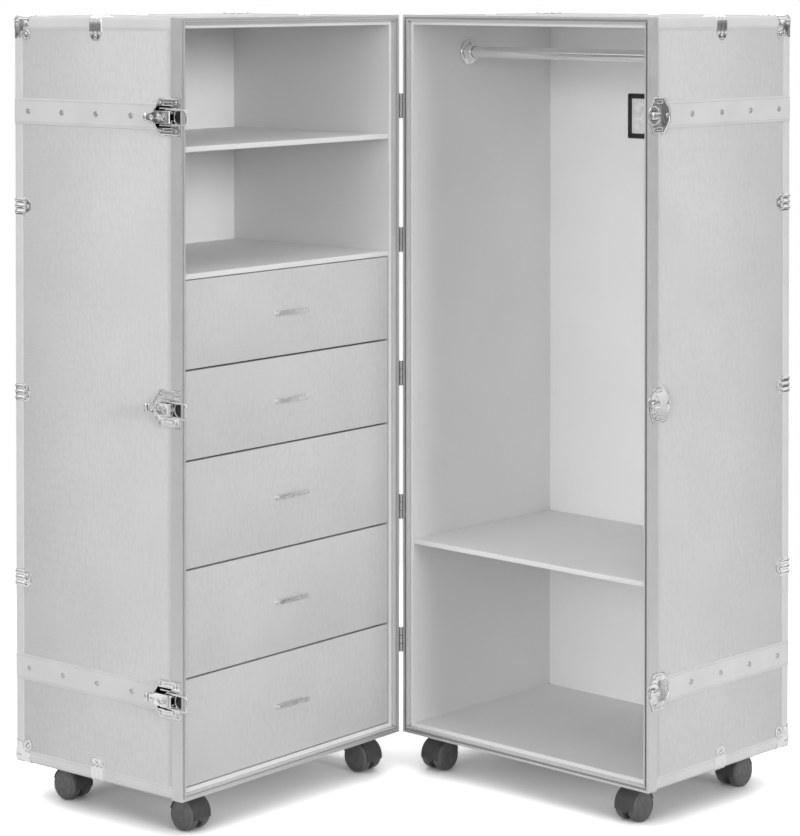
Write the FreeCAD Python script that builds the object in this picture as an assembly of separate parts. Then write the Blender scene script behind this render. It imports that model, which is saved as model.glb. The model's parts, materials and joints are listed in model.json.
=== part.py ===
import FreeCAD, Part
import math
import os

from FreeCAD import Rotation, Vector

# Wardrobe trunk: a drawer half and a hanging half joined along one upright edge.
# World frame: millimetres, +Z up, z = 0 on the floor, the hinge pin on the Z axis. The drawer half's
# closing plane faces +X. Each half is built in its own frame first: w runs across the half from its
# hinge side, d runs back from its closing plane, z runs up from the underside of the case.

# --- case ---
HALF_WIDTH = 542.0        # leather to leather across one half
HALF_DEPTH = 386.0        # closing plane to the back of the leather
CASE_HEIGHT = 1248.0      # underside to top of the leather
CASTER_HEIGHT = 65.0      # floor to the underside of the case
OPENING_ANGLE = 86.0      # between the two closing planes as the trunk stands, degrees
EDGE_BEVEL = 4.0          # outer edges of the leather
LEATHER = 1.5
PLYWOOD = 6.5
LINER = 8.0               # lined inner boards at the sides, top and bottom
BACK_LINER = 3.0
LINER_SETBACK = 9.0       # closing plane to the liner's front edge

# --- closing frame and hinge ---
FRAME_WALL = 1.2
FRAME_WEB = 4.0           # thickness of the frame's front
FRAME_FLANGE = 22.0       # depth of the flange outside the leather
TONGUE_WIDTH = 2.5
TONGUE_HEIGHT = 2.0
TONGUE_INSET = 4.7        # frame's outer face to the tongue
GROOVE_CLEARANCE = 0.5
CLOSING_GAP = 1.0         # between the closing planes of the shut trunk
KNUCKLE_RADIUS = 4.0
HINGE_HEIGHT = 43.5
HINGE_COUNT = 5
LEAF_THICKNESS = 1.5
LEAF_WIDTH = 20.0
PIN_RADIUS = 2.0
TURNING_FIT = 0.05        # radial clearance of every pin in its hole
MOVING_GAP = 0.3          # between flat faces that slide or turn past each other
SMALL_FACETS = 8          # sides of small round forms that nothing turns on
PIN_FACETS = 10           # sides of the smallest pins and of the holes that pins turn in

# --- leather trim and edge hardware ---
LOW_FITTING = 160.0       # underside of the case to the lowest strap, latch and hinge
TOP_FITTING = 157.0       # top of the case to the highest ones
STRAP_WIDTH = 43.0
STRAP_THICKNESS = 2.0
BINDING_WIDTH = 20.0
BINDING_THICKNESS = 1.0
CLAMP_WIDTH = 30.0
CLAMP_LEG = 38.0
CLAMP_SHOULDER = 27.0     # edge to where the clamp starts to narrow
CLAMP_TIP = 14.0          # width of the clamp's end
CLAMP_THICKNESS = 2.2
REAR_CLAMPS = 3           # on each upright rear edge
REAR_CLAMP_LOW = 309.0    # lowest one above the underside
REAR_CLAMP_HIGH = 932.0
CORNER_ARM = 36.0         # length of a corner cap's arm down each edge
CORNER_ARM_WIDTH = 17.0
CORNER_NECK = 24.0        # side of the square foot between the arms
CORNER_THICKNESS = 1.8
LOBE_RADIUS = 9.5
LOBE_INSET = 29.0         # middle of the screwed lobe to both edges
BALL_RADIUS = 12.0
BALL_PROUD = 3.4          # ball beyond the leather's faces
BALL_FACETS = 12

# --- drawer half ---
SHELF_BOARD = 9.0
SHELF_SETBACK = 10.0
LOWER_ROWS = 3
LOWER_ROW_HEIGHT = 174.5
UPPER_ROWS = 2
UPPER_ROW_HEIGHT = 145.5
COMPARTMENT_HEIGHT = 194.5    # between the two shelves
FRONT_SETBACK = 11.0
FRONT_THICKNESS = 12.0
FRONT_GAP = 1.5           # around each drawer front
DRAWER_BOARD = 12.0
DRAWER_BOTTOM = 4.0
DRAWER_BOTTOM_RAISE = 3.0
DRAWER_SIDE_GAP = 2.0
DRAWER_REAR_GAP = 5.0
DRAWER_TOP_GAP = 22.0     # drawer sides stand this far below the row's top
RUNNER_WIDTH = 12.0
RUNNER_HEIGHT = 10.0
HANDLE_LENGTH = 78.0
HANDLE_HEIGHT = 8.0
HANDLE_BAR = 3.0
HANDLE_PROUD = 9.0

# --- hanging half ---
LOWER_SPACE_HEIGHT = 312.0    # floor board to the underside of the shelf
ROD_RADIUS = 10.0
ROD_WALL = 1.5
ROD_DROP = 50.0           # inner top to the rod's centre
ROD_SETBACK = 152.0
ROD_FIT = 0.1             # rod in its sockets
ROD_FACETS = 16
SOCKET_RADIUS = 22.0
SOCKET_FLANGE = 3.0
SOCKET_CUP_RADIUS = 14.0
SOCKET_LENGTH = 15.0
CARD_WIDTH = 65.0
CARD_HEIGHT = 80.0
CARD_BORDER = 6.5
CARD_THICKNESS = 2.5
CARD_POCKET = 1.5
CARD_INSET = 183.0        # hinge-side liner to the card holder
CARD_DROP = 141.0         # top of the case to the top of the card holder

# --- draw latches, measured out from the leather (u) and back from the closing plane (d) ---
LATCH_COUNT = 3
PLATE_HEIGHT = 60.0
PLATE_TOP = 3.2
PLATE_FRONT = 0.6
LATCH_PLATE_SHOULDER = 47.0
LATCH_PLATE_END = 61.0
PLATE_TIP_HEIGHT = 20.0
LEVER_PIVOT_D = 18.0
LEVER_PIVOT_U = 9.0
LEVER_PIN_RADIUS = 1.5
NOSE_START = 90.0         # the curved nose runs from over the pivot, degrees
NOSE_END = 135.0
LEVER_NOSE = 5.0
LEVER_WALL = 1.6
LEVER_HALF_WIDTH = 10.0
CHEEK = 2.0
LEVER_END_D = 68.0
LEVER_END_U = 5.4
CHEEK_END_D = 46.0
CHEEK_END_HEIGHT = 3.0
NUB_RADIUS = 3.6
NUB_LENGTH = 14.0
EAR_THICKNESS = 2.4
EAR_RADIUS = 2.7
LOOP_PIVOT_BACK = 9.0     # behind the lever's pivot with the latch shut
LOOP_PIVOT_DROP = 2.0     # below it, which makes the latch pass over centre
LOOP_REACH = 20.0         # closing plane to the middle of the loop's bar with the latch shut
LOOP_BAR_U = 5.0
LOOP_WIDTH = 3.2
LOOP_THICKNESS = 2.8
LOOP_CORNER = 6.0
LOOP_STUB_RADIUS = 1.3
LOOP_BOSS = 2.4
BOSS_START = 240.0        # the boss's rounded underside on each cheek, degrees
BOSS_END = 300.0
LATCH_LIFT = 6.0          # lever stands this far off its shut position, degrees
CATCH_PLATE_SHOULDER = 38.0
CATCH_PLATE_END = 53.0
CATCH_PLATE_START = 9.0
HOOK_FRONT = 2.0
HOOK_TOP = 8.2
HOOK_HALF_WIDTH = 6.0
HOOK_ROUND = 4.0
HOOK_NOSE_THICKNESS = 1.4
HOOK_GAP = 0.3            # loop's bar to the hook behind which it sits

# --- casters ---
CASTER_HINGE_INSET = 48.0     # swivel axis to the hinge-side wall
CASTER_LATCH_INSET = 62.0
CASTER_DEPTH_INSET = 57.0     # swivel axis to the closing plane and to the back
WHEEL_RADIUS = 26.0
WHEEL_WIDTH = 18.0
WHEEL_BEVEL = 2.0
WHEEL_FACETS = 16
WHEEL_SIDE_GAP = 1.0
CASTER_WEB = 10.0
CASTER_TRAIL = 15.0       # wheel axis behind the swivel axis
HOOD_GAP = 1.2
HOOD_WALL = 2.5
HOOD_SETBACK = 2.5        # hood's edge inside the wheels' outer faces
HOOD_START = 18.0         # degrees above the level, on the trailing side
HOOD_SWEEP = 174.0
HOOD_FACETS = 8
AXLE_RADIUS = 3.0
AXLE_BOSS = 7.0
CASTER_PLATE = 2.5
CASTER_PLATE_SIDE = 36.0
KINGPIN_RADIUS = 4.0
KINGPIN_LENGTH = 17.0
NECK_RADIUS = 9.0         # round rear of the hood's neck, about the swivel axis
NECK_HALF_WIDTH = 16.0    # its front, on the hood
NECK_FRONT = 13.0
NECK_LENGTH = 20.0

# --- sizes that follow from those above ---
BOX_WALL = LEATHER + PLYWOOD
WALL = BOX_WALL + LINER
INNER_DEPTH = HALF_DEPTH - BOX_WALL - BACK_LINER
PIN_W = -(FRAME_WALL + KNUCKLE_RADIUS)
PIN_D = -CLOSING_GAP / 2
FITTING_HEIGHTS = (LOW_FITTING, CASE_HEIGHT - TOP_FITTING)
REACH = CASTER_HEIGHT         # cutting tools run this far past the case
BEVEL_SHIFT = 2 - math.sqrt(2)    # bevel's growth for each millimetre that its faces move out

ORIGIN = Vector(0, 0, 0)
ACROSS = Vector(1, 0, 0)
BACK = Vector(0, 1, 0)
UP = Vector(0, 0, 1)


def box(w0, w1, d0, d1, z0, z1):
    return Part.makeBox(w1 - w0, d1 - d0, z1 - z0, Vector(w0, d0, z0))


def prism(points, sweep):
    """A straight solid on the flat outline through the points."""
    return Part.Face(Part.makePolygon(points + points[:1])).extrude(sweep)


def round_arc(points):
    """A true arc through three points."""
    return Part.Arc(*points).toShape()


def edged_prism(edges, sweep):
    """A straight solid on an outline of lines and arcs that meet end to end."""
    return Part.Face(Part.Wire(Part.__sortEdges__(edges))).extrude(sweep)


def lines(points):
    """The straight edges along a run of points."""
    return Part.makePolygon(points).Edges


def spread(first, last, count):
    """Evenly spaced places from the first to the last."""
    step = (last - first) / (count - 1)
    return [first + step * index for index in range(count)]


def across_mirror(shape):
    return shape.mirror(Vector(HALF_WIDTH / 2, 0, 0), ACROSS)


def height_mirror(shape):
    return shape.mirror(Vector(0, 0, CASE_HEIGHT / 2), UP)


def ring_points(centre, radius, axis, first, sides):
    """Corners of a regular outline about an axis, starting along the first direction."""
    return [centre + Rotation(axis, 360 * index / sides).multVec(first * radius) for index in range(sides)]


def facet_bar(radius, centre, axis, first, length, sides=SMALL_FACETS):
    """A round bar of flat facets with its corners on the radius, from the centre of one end."""
    return prism(ring_points(centre, radius, axis, first, sides), axis * length)


def facet_hole(radius, centre, axis, first, length, sides=PIN_FACETS):
    """The space of a bore with its flats on the radius, which clears any pin of a smaller radius."""
    return facet_bar(radius / math.cos(math.pi / sides), centre, axis, first, length, sides)



def faceted_ball(radius, centre):
    """A ball of flat facets between level rings."""
    rings = []
    for index in range(1, BALL_FACETS // 2):
        angle = math.pi * index / (BALL_FACETS // 2)
        level = centre - UP * radius * math.cos(angle)
        points = ring_points(level, radius * math.sin(angle), UP, ACROSS, BALL_FACETS)
        rings.append(Part.makePolygon(points + points[:1]))
    return Part.makeLoft(rings, True, True)


def arc(x, y, radius, start, end, steps):
    """Points on an arc in a plane, angles in degrees."""
    angles = [math.radians(start + (end - start) * index / steps) for index in range(steps + 1)]
    return [(x + radius * math.cos(angle), y + radius * math.sin(angle)) for angle in angles]


# --- case shell ---
def case_block(inset):
    """The case's outer form moved in by inset, with every edge bevelled but those at the front."""
    block = box(inset, HALF_WIDTH - inset, FRAME_WEB, HALF_DEPTH - inset, inset, CASE_HEIGHT - inset)
    edges = [edge for edge in block.Edges if edge.BoundBox.YMax > FRAME_WEB + LEATHER]
    return block.makeChamfer(EDGE_BEVEL - BEVEL_SHIFT * inset, edges)


def case_layer(thickness):
    """A skin of the given thickness outside the leather."""
    return case_block(-thickness).cut(case_block(0))


def leather():
    return case_block(0).cut(case_block(LEATHER))


def shell():
    """Back, side, bottom and top boards of plywood."""
    inner_back = HALF_DEPTH - BOX_WALL
    body = case_block(LEATHER)
    side = body.common(box(LEATHER, BOX_WALL, FRAME_WEB, inner_back, LEATHER, CASE_HEIGHT - LEATHER))
    base = body.common(box(BOX_WALL, HALF_WIDTH - BOX_WALL, FRAME_WEB, inner_back, LEATHER, BOX_WALL))
    back = body.common(box(LEATHER, HALF_WIDTH - LEATHER, inner_back, HALF_DEPTH, LEATHER, CASE_HEIGHT - LEATHER))
    return [back, side, across_mirror(side), base, height_mirror(base)]


def liner():
    """Lined boards inside the shell, set back from the closing plane."""
    side = box(BOX_WALL, WALL, LINER_SETBACK, INNER_DEPTH, BOX_WALL, CASE_HEIGHT - BOX_WALL)
    base = box(WALL, HALF_WIDTH - WALL, LINER_SETBACK, INNER_DEPTH, BOX_WALL, WALL)
    back = box(
        BOX_WALL, HALF_WIDTH - BOX_WALL, INNER_DEPTH, HALF_DEPTH - BOX_WALL, BOX_WALL, CASE_HEIGHT - BOX_WALL
    )
    return [back, side, across_mirror(side), base, height_mirror(base)]


# --- closing frame ---
def frame_bar(length, tongue):
    """One mitred length along w: t is the way in from the leather's face, here upwards."""
    inner = BOX_WALL + FRAME_WALL
    bar = box(-FRAME_WALL, length + FRAME_WALL, 0, FRAME_WEB, -FRAME_WALL, inner)
    bar = bar.fuse(box(-FRAME_WALL, length + FRAME_WALL, 0, FRAME_FLANGE, -FRAME_WALL, 0))
    bar = bar.fuse(box(-FRAME_WALL, length + FRAME_WALL, 0, LINER_SETBACK, BOX_WALL, inner))
    low = TONGUE_INSET - FRAME_WALL
    if tongue:
        bar = bar.fuse(box(-FRAME_WALL, length + FRAME_WALL, -TONGUE_HEIGHT, 0, low, low + TONGUE_WIDTH))
    else:
        groove = box(
            -FRAME_WALL, length + FRAME_WALL, 0, TONGUE_HEIGHT + GROOVE_CLEARANCE,
            low - GROOVE_CLEARANCE, low + TONGUE_WIDTH + GROOVE_CLEARANCE,
        )
        bar = bar.cut(groove)
    mitre = [
        Vector(-FRAME_WALL, -TONGUE_HEIGHT, -FRAME_WALL),
        Vector(length + FRAME_WALL, -TONGUE_HEIGHT, -FRAME_WALL),
        Vector(length - inner, -TONGUE_HEIGHT, inner),
        Vector(inner, -TONGUE_HEIGHT, inner),
    ]
    return bar.common(prism(mitre, BACK * (TONGUE_HEIGHT + FRAME_FLANGE))).removeSplitter()


def closing_frame(tongue):
    bottom = frame_bar(HALF_WIDTH, tongue)
    side = frame_bar(CASE_HEIGHT, tongue).mirror(ORIGIN, Vector(1, 0, -1))
    return [bottom, height_mirror(bottom), side, across_mirror(side)]


# --- hardware on the edges ---
def clamp_zone(centre, along, first, second):
    """The space of one edge clamp: a tapered tongue down each of the two faces that meet there."""
    half = CLAMP_WIDTH / 2
    tip = CLAMP_TIP / 2
    over = EDGE_BEVEL
    outline = [
        (-half, -over), (half, -over), (half, CLAMP_SHOULDER),
        (tip, CLAMP_LEG), (-tip, CLAMP_LEG), (-half, CLAMP_SHOULDER),
    ]
    legs = []
    for reach, inward in ((first, second), (second, first)):
        points = [centre - inward * over + along * x + reach * y for x, y in outline]
        legs.append(prism(points, inward * (over + EDGE_BEVEL)))
    return legs[0].fuse(legs[1])


def clamp_zones():
    middle = HALF_DEPTH / 2
    zones = []
    side = clamp_zone(Vector(0, middle, 0), BACK, ACROSS, UP)
    for zone in (side, across_mirror(side)):
        zones += [zone, height_mirror(zone)]
    rear = clamp_zone(Vector(HALF_WIDTH / 2, HALF_DEPTH, 0), ACROSS, -BACK, UP)
    zones += [rear, height_mirror(rear)]
    for height in spread(REAR_CLAMP_LOW, REAR_CLAMP_HIGH, REAR_CLAMPS):
        upright = clamp_zone(Vector(0, HALF_DEPTH, height), UP, ACROSS, -BACK)
        zones += [upright, across_mirror(upright)]
    return zones


def clamps():
    layer = case_layer(CLAMP_THICKNESS)
    return [layer.common(zone) for zone in clamp_zones()]


def ball_corner():
    """A cap on one rear corner: arms down the edges, a screwed lobe on each face and a ball at the tip."""
    corner = Vector(0, HALF_DEPTH, 0)
    over = EDGE_BEVEL
    neck = CORNER_NECK
    zone = box(-over, neck, HALF_DEPTH - neck, HALF_DEPTH + over, -over, neck)
    directions = (ACROSS, -BACK, UP)
    for index in range(3):
        first = directions[(index + 1) % 3]
        second = directions[(index + 2) % 3]
        inward = directions[index]
        start = corner - (first + second + inward) * over
        side = over + CORNER_ARM_WIDTH
        foot = [start, start + first * side, start + (first + second) * side, start + second * side]
        zone = zone.fuse(prism(foot, inward * (over + CORNER_ARM)))
        centre = corner + (first + second) * LOBE_INSET - inward * over
        zone = zone.fuse(facet_bar(LOBE_RADIUS, centre, inward, first, over + EDGE_BEVEL))
    cap = case_layer(CORNER_THICKNESS).common(zone)
    inset = BALL_RADIUS - BALL_PROUD
    ball = faceted_ball(BALL_RADIUS, corner + (ACROSS - BACK + UP) * inset)
    return cap.fuse(ball.cut(case_block(0))).removeSplitter()


def at_rear_corners(low):
    """A shape at the lower corner on the hinge side, and its copies at the other three."""
    pair = [low, across_mirror(low)]
    return pair + [height_mirror(shape) for shape in pair]


def straps():
    layer = case_layer(STRAP_THICKNESS)
    bands = []
    for height in FITTING_HEIGHTS:
        low = height - STRAP_WIDTH / 2
        slab = box(-REACH, HALF_WIDTH + REACH, FRAME_FLANGE, HALF_DEPTH + REACH, low, low + STRAP_WIDTH)
        bands.append(layer.common(slab))
    return bands


def binding(bands):
    """Leather strips along the edges behind the frame, ending at the clamps, corner caps and straps."""
    margin = BINDING_WIDTH
    over = EDGE_BEVEL
    arm = CORNER_ARM
    corner = box(-over, arm, HALF_DEPTH - arm, HALF_DEPTH + over, -over, arm)
    width = HALF_WIDTH - margin
    height = CASE_HEIGHT - margin
    depth = HALF_DEPTH - margin
    skin = case_layer(BINDING_THICKNESS)
    skin = skin.cut(box(-REACH, HALF_WIDTH + REACH, 0, FRAME_FLANGE, -REACH, CASE_HEIGHT + REACH))
    skin = skin.cut(box(-REACH, HALF_WIDTH + REACH, 0, depth, margin, height))
    skin = skin.cut(box(margin, width, 0, depth, -REACH, CASE_HEIGHT + REACH))
    skin = skin.cut(box(margin, width, 0, HALF_DEPTH + REACH, margin, height))
    return skin.cut(clamp_zones() + at_rear_corners(corner) + bands)


# --- hinges ---
def knuckle(z0, z1):
    return facet_bar(KNUCKLE_RADIUS, Vector(PIN_W, PIN_D, z0), UP, ACROSS, z1 - z0)


def hinge_leaf(low, tabs):
    """A leaf on the frame's flange with a tab out to the pin at each (z0, z1) of tabs."""
    outer = -(FRAME_WALL + LEAF_THICKNESS)
    clear = PIN_D + KNUCKLE_RADIUS + MOVING_GAP
    leaf = box(outer, -FRAME_WALL, clear, LEAF_WIDTH, low, low + HINGE_HEIGHT)
    for z0, z1 in tabs:
        leaf = leaf.fuse(box(outer, -FRAME_WALL, PIN_D, clear, z0, z1)).fuse(knuckle(z0, z1))
    return leaf


def hinges():
    """Leaves of the drawer half, with the outer knuckles and the pin, and of the hanging half."""
    outer_leaves = []
    middle_leaves = []
    third = HINGE_HEIGHT / 3
    for centre in spread(*FITTING_HEIGHTS, HINGE_COUNT):
        low = centre - HINGE_HEIGHT / 2
        outer = hinge_leaf(low, ((low, low + third), (low + 2 * third, low + HINGE_HEIGHT)))
        pin_foot = Vector(PIN_W, PIN_D, low)
        pin = Part.makeCylinder(PIN_RADIUS, HINGE_HEIGHT, pin_foot, UP)
        outer_leaves.append(outer.fuse(pin).removeSplitter())
        middle_low = low + third + MOVING_GAP
        middle_high = low + 2 * third - MOVING_GAP
        middle = hinge_leaf(low, ((middle_low, middle_high),))
        hole = facet_hole(PIN_RADIUS + TURNING_FIT, pin_foot, UP, ACROSS, HINGE_HEIGHT)
        middle_leaves.append(middle.cut(hole).removeSplitter())
    return outer_leaves, middle_leaves


# --- draw latches ---
def latch_point(d, u, z=0.0):
    """A point near the latch-side wall, in the half's frame."""
    return Vector(HALF_WIDTH + u, d, z)


def fitting_plate(outline, height):
    """A flat plate on the latch-side wall; outline holds (d, z) pairs about the fitting's height."""
    points = [latch_point(d, 0, height + z) for d, z in outline]
    plate = prism(points, ACROSS * PLATE_TOP)
    flange = box(HALF_WIDTH, HALF_WIDTH + FRAME_WALL, 0, FRAME_FLANGE, 0, CASE_HEIGHT)
    return plate.cut(flange)


def side_prism(outline, z0, z1):
    """A solid on a side outline of (d, u) pairs, from z0 to z1."""
    return prism([latch_point(d, u, z0) for d, u in outline], UP * (z1 - z0))


def side_pin(radius, d, u, z0, z1):
    """A stub pin with its corners on the radius."""
    return facet_bar(radius, latch_point(d, u, z0), UP, ACROSS, z1 - z0, PIN_FACETS)


def side_hole(radius, d, u, z0, z1):
    """The hole that a stub pin of this radius turns in."""
    return facet_hole(radius + TURNING_FIT, latch_point(d, u, z0), UP, ACROSS, z1 - z0)


def latch_plate(height, bands):
    """Base plate and the two ears on it, each with the stub of the lever's pin."""
    half = PLATE_HEIGHT / 2
    tip = PLATE_TIP_HEIGHT / 2
    outline = [
        (PLATE_FRONT, -half), (LATCH_PLATE_SHOULDER, -half), (LATCH_PLATE_END, -tip),
        (LATCH_PLATE_END, tip), (LATCH_PLATE_SHOULDER, half), (PLATE_FRONT, half),
    ]
    plate = fitting_plate(outline, height)
    for band in bands:
        plate = plate.cut(band)
    outer = LEVER_HALF_WIDTH - CHEEK - MOVING_GAP
    ear = arc(LEVER_PIVOT_D, LEVER_PIVOT_U, EAR_RADIUS, 0, 180, SMALL_FACETS // 2)
    ear += [(LEVER_PIVOT_D - EAR_RADIUS, PLATE_TOP), (LEVER_PIVOT_D + EAR_RADIUS, PLATE_TOP)]
    stub = CHEEK + MOVING_GAP
    ears = []
    for low, stub_low in ((-outer, -LEVER_HALF_WIDTH), (outer - EAR_THICKNESS, outer)):
        lug = side_prism(ear, height + low, height + low + EAR_THICKNESS)
        pin_low = height + stub_low
        pin = side_pin(LEVER_PIN_RADIUS, LEVER_PIVOT_D, LEVER_PIVOT_U, pin_low, pin_low + stub)
        ears.append(lug.fuse(pin).removeSplitter())
    return [plate] + ears


def round_about(d, u, radius, start, end, z):
    """Three points on an arc beside the latch, its angles in degrees."""
    return [latch_point(x, y, z) for x, y in arc(d, u, radius, start, end, 2)]


def lever_web(low, high):
    """The lever's outer wall, from the curved nose over the pivot to its end."""
    outer = round_about(LEVER_PIVOT_D, LEVER_PIVOT_U, LEVER_NOSE, NOSE_END, NOSE_START, low)
    inner = round_about(LEVER_PIVOT_D, LEVER_PIVOT_U, LEVER_NOSE - LEVER_WALL, NOSE_START, NOSE_END, low)
    end = [latch_point(LEVER_END_D, LEVER_END_U + LEVER_WALL, low), latch_point(LEVER_END_D, LEVER_END_U, low)]
    straight = lines([outer[-1]] + end + [inner[0]]) + lines([inner[-1], outer[0]])
    return edged_prism([round_arc(outer), round_arc(inner)] + straight, UP * (high - low))


def loop_pivot():
    return LEVER_PIVOT_D + LOOP_PIVOT_BACK, LEVER_PIVOT_U - LOOP_PIVOT_DROP


def latch_lever(height):
    """Channel-shaped lever in its shut position."""
    low = height - LEVER_HALF_WIDTH
    high = height + LEVER_HALF_WIDTH
    top = LEVER_PIVOT_U + LEVER_NOSE
    fall = (top - LEVER_END_U - LEVER_WALL) / (LEVER_END_D - LEVER_PIVOT_D)
    cheek_top = top - fall * (CHEEK_END_D - LEVER_PIVOT_D)
    pivot_d, pivot_u = loop_pivot()
    nose = arc(LEVER_PIVOT_D, LEVER_PIVOT_U, LEVER_NOSE, 90, 270, SMALL_FACETS)
    tail = [(CHEEK_END_D, cheek_top - CHEEK_END_HEIGHT), (CHEEK_END_D, cheek_top)]
    lever = lever_web(low, high)
    for z0 in (low, high - CHEEK):
        boss = round_about(pivot_d, pivot_u, LOOP_BOSS, BOSS_START, BOSS_END, z0)
        front = [latch_point(d, u, z0) for d, u in nose] + boss[:1]
        rear = boss[-1:] + [latch_point(d, u, z0) for d, u in tail] + front[:1]
        lever = lever.fuse(edged_prism([round_arc(boss)] + lines(front) + lines(rear), UP * CHEEK))
    nub_u = LEVER_END_U + NUB_RADIUS - LEVER_WALL
    nub_end = latch_point(LEVER_END_D, nub_u, height - NUB_LENGTH / 2)
    lever = lever.fuse(facet_bar(NUB_RADIUS, nub_end, UP, ACROSS, NUB_LENGTH))
    hole = side_hole(LEVER_PIN_RADIUS, LEVER_PIVOT_D, LEVER_PIVOT_U, low, high)
    loop_hole = side_hole(LOOP_STUB_RADIUS, pivot_d, pivot_u, low, high)
    return lever.cut(hole).cut(loop_hole).removeSplitter()


def latch_loop(height):
    """Flat bail with two stubs into the lever's cheeks, in its shut position."""
    pivot_d, pivot_u = loop_pivot()
    length = math.hypot(pivot_d + LOOP_REACH, pivot_u - LOOP_BAR_U)
    tilt = math.degrees(math.asin((pivot_u - LOOP_BAR_U) / length))
    inner = LEVER_HALF_WIDTH + MOVING_GAP
    outer = inner + LOOP_WIDTH
    rear = pivot_d + LOOP_BOSS
    front = pivot_d - length - LOOP_WIDTH / 2
    corner = front + LOOP_CORNER
    inner_round = LOOP_CORNER - LOOP_WIDTH
    steps = SMALL_FACETS // 4
    half = [(rear, outer)] + arc(corner, outer - LOOP_CORNER, LOOP_CORNER, 90, 180, steps)
    hollow = arc(corner, inner - inner_round, inner_round, 180, 90, steps) + [(rear, inner)]
    upper = half + [(d, -z) for d, z in reversed(half)]
    lower = [(d, -z) for d, z in reversed(hollow)] + hollow
    outline = upper + lower
    points = [latch_point(d, pivot_u - LOOP_THICKNESS / 2, height + z) for d, z in outline]
    loop = prism(points, ACROSS * LOOP_THICKNESS)
    for z0 in (height - outer, height + inner - CHEEK - MOVING_GAP):
        z1 = z0 + LOOP_WIDTH + CHEEK + MOVING_GAP
        loop = loop.fuse(side_pin(LOOP_STUB_RADIUS, pivot_d, pivot_u, z0, z1))
    loop.rotate(latch_point(pivot_d, pivot_u), UP, -tilt)
    return loop.removeSplitter()


def latch_moving_parts(height):
    """Lever and loop as the trunk stands: the lever lifted a little, which swings the loop out."""
    lever = latch_lever(height)
    loop = latch_loop(height)
    pivot = latch_point(LEVER_PIVOT_D, LEVER_PIVOT_U)
    lever.rotate(pivot, UP, -LATCH_LIFT)
    loop.rotate(pivot, UP, -LATCH_LIFT)
    shut = latch_point(*loop_pivot())
    moved = pivot + Rotation(UP, -LATCH_LIFT).multVec(shut - pivot)
    loop.rotate(moved, UP, 2 * LATCH_LIFT)
    return lever, loop


def catch_plate(height, bands):
    """Base plate and the hook on it that the loop's bar drops behind."""
    half = PLATE_HEIGHT / 2
    tip = PLATE_TIP_HEIGHT / 2
    outline = [
        (PLATE_FRONT, -tip), (CATCH_PLATE_START, -half), (CATCH_PLATE_SHOULDER, -half), (CATCH_PLATE_END, -tip),
        (CATCH_PLATE_END, tip), (CATCH_PLATE_SHOULDER, half), (CATCH_PLATE_START, half), (PLATE_FRONT, tip),
    ]
    plate = fitting_plate(outline, height)
    for band in bands:
        plate = plate.cut(band)
    stem_back = LOOP_REACH - CLOSING_GAP - LOOP_WIDTH / 2 - HOOK_GAP
    nose_back = stem_back + LOOP_WIDTH - HOOK_GAP
    nose_under = HOOK_TOP - HOOK_NOSE_THICKNESS
    crown = arc(HOOK_FRONT + HOOK_ROUND, HOOK_TOP - HOOK_ROUND, HOOK_ROUND, 180, 90, SMALL_FACETS // 4)
    outline = [(HOOK_FRONT, PLATE_TOP)] + crown + [
        (nose_back, HOOK_TOP), (nose_back, nose_under), (stem_back, nose_under), (stem_back, PLATE_TOP),
    ]
    return [plate, side_prism(outline, height - HOOK_HALF_WIDTH, height + HOOK_HALF_WIDTH)]


# --- drawers, shelves and fittings ---
def drawer_rows():
    """(z0, z1) of each drawer's space, from the bottom up."""
    heights = [LOWER_ROW_HEIGHT] * LOWER_ROWS + [UPPER_ROW_HEIGHT] * UPPER_ROWS
    rows = []
    low = WALL
    for height in heights:
        rows.append((low, low + height))
        low += height
    return rows


def drawer_front(low, high):
    back = FRONT_SETBACK + FRONT_THICKNESS
    left = WALL + FRONT_GAP
    return box(left, HALF_WIDTH - left, FRONT_SETBACK, back, low + FRONT_GAP, high - FRONT_GAP)


def drawer_box(low, high):
    """Two sides, back and bottom behind the front."""
    front = FRONT_SETBACK + FRONT_THICKNESS
    rear = INNER_DEPTH - DRAWER_REAR_GAP
    left = WALL + DRAWER_SIDE_GAP
    inner = left + DRAWER_BOARD
    base = low + RUNNER_HEIGHT + MOVING_GAP
    top = high - DRAWER_TOP_GAP
    floor = base + DRAWER_BOTTOM_RAISE
    side = box(left, inner, front, rear, base, top)
    back = box(inner, HALF_WIDTH - inner, rear - DRAWER_BOARD, rear, base, top)
    bottom = box(inner, HALF_WIDTH - inner, front, rear - DRAWER_BOARD, floor, floor + DRAWER_BOTTOM)
    return [side, across_mirror(side), back, bottom]


def drawer_handle(low, high):
    """Flat bar with round ends on two feet."""
    middle = HALF_WIDTH / 2
    height = (low + high) / 2
    radius = HANDLE_HEIGHT / 2
    offset = HANDLE_LENGTH / 2 - radius
    front = FRONT_SETBACK - HANDLE_PROUD
    handle = box(middle - offset, middle + offset, front, front + HANDLE_BAR, height - radius, height + radius)
    for w in (middle - offset, middle + offset):
        foot = Vector(w, front, height)
        handle = handle.fuse(facet_bar(radius, foot, BACK, UP, HANDLE_PROUD))
    return handle.removeSplitter()


def drawer_runners():
    strips = []
    front = FRONT_SETBACK + FRONT_THICKNESS + DRAWER_SIDE_GAP
    for low, high in drawer_rows():
        strip = box(WALL, WALL + RUNNER_WIDTH, front, INNER_DEPTH, low, low + RUNNER_HEIGHT)
        strips += [strip, across_mirror(strip)]
    return strips


def shelf(low):
    return box(WALL, HALF_WIDTH - WALL, SHELF_SETBACK, INNER_DEPTH, low, low + SHELF_BOARD)


def drawer_half_shelves():
    bay_top = drawer_rows()[-1][1]
    return [shelf(bay_top), shelf(bay_top + SHELF_BOARD + COMPARTMENT_HEIGHT)]


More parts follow.
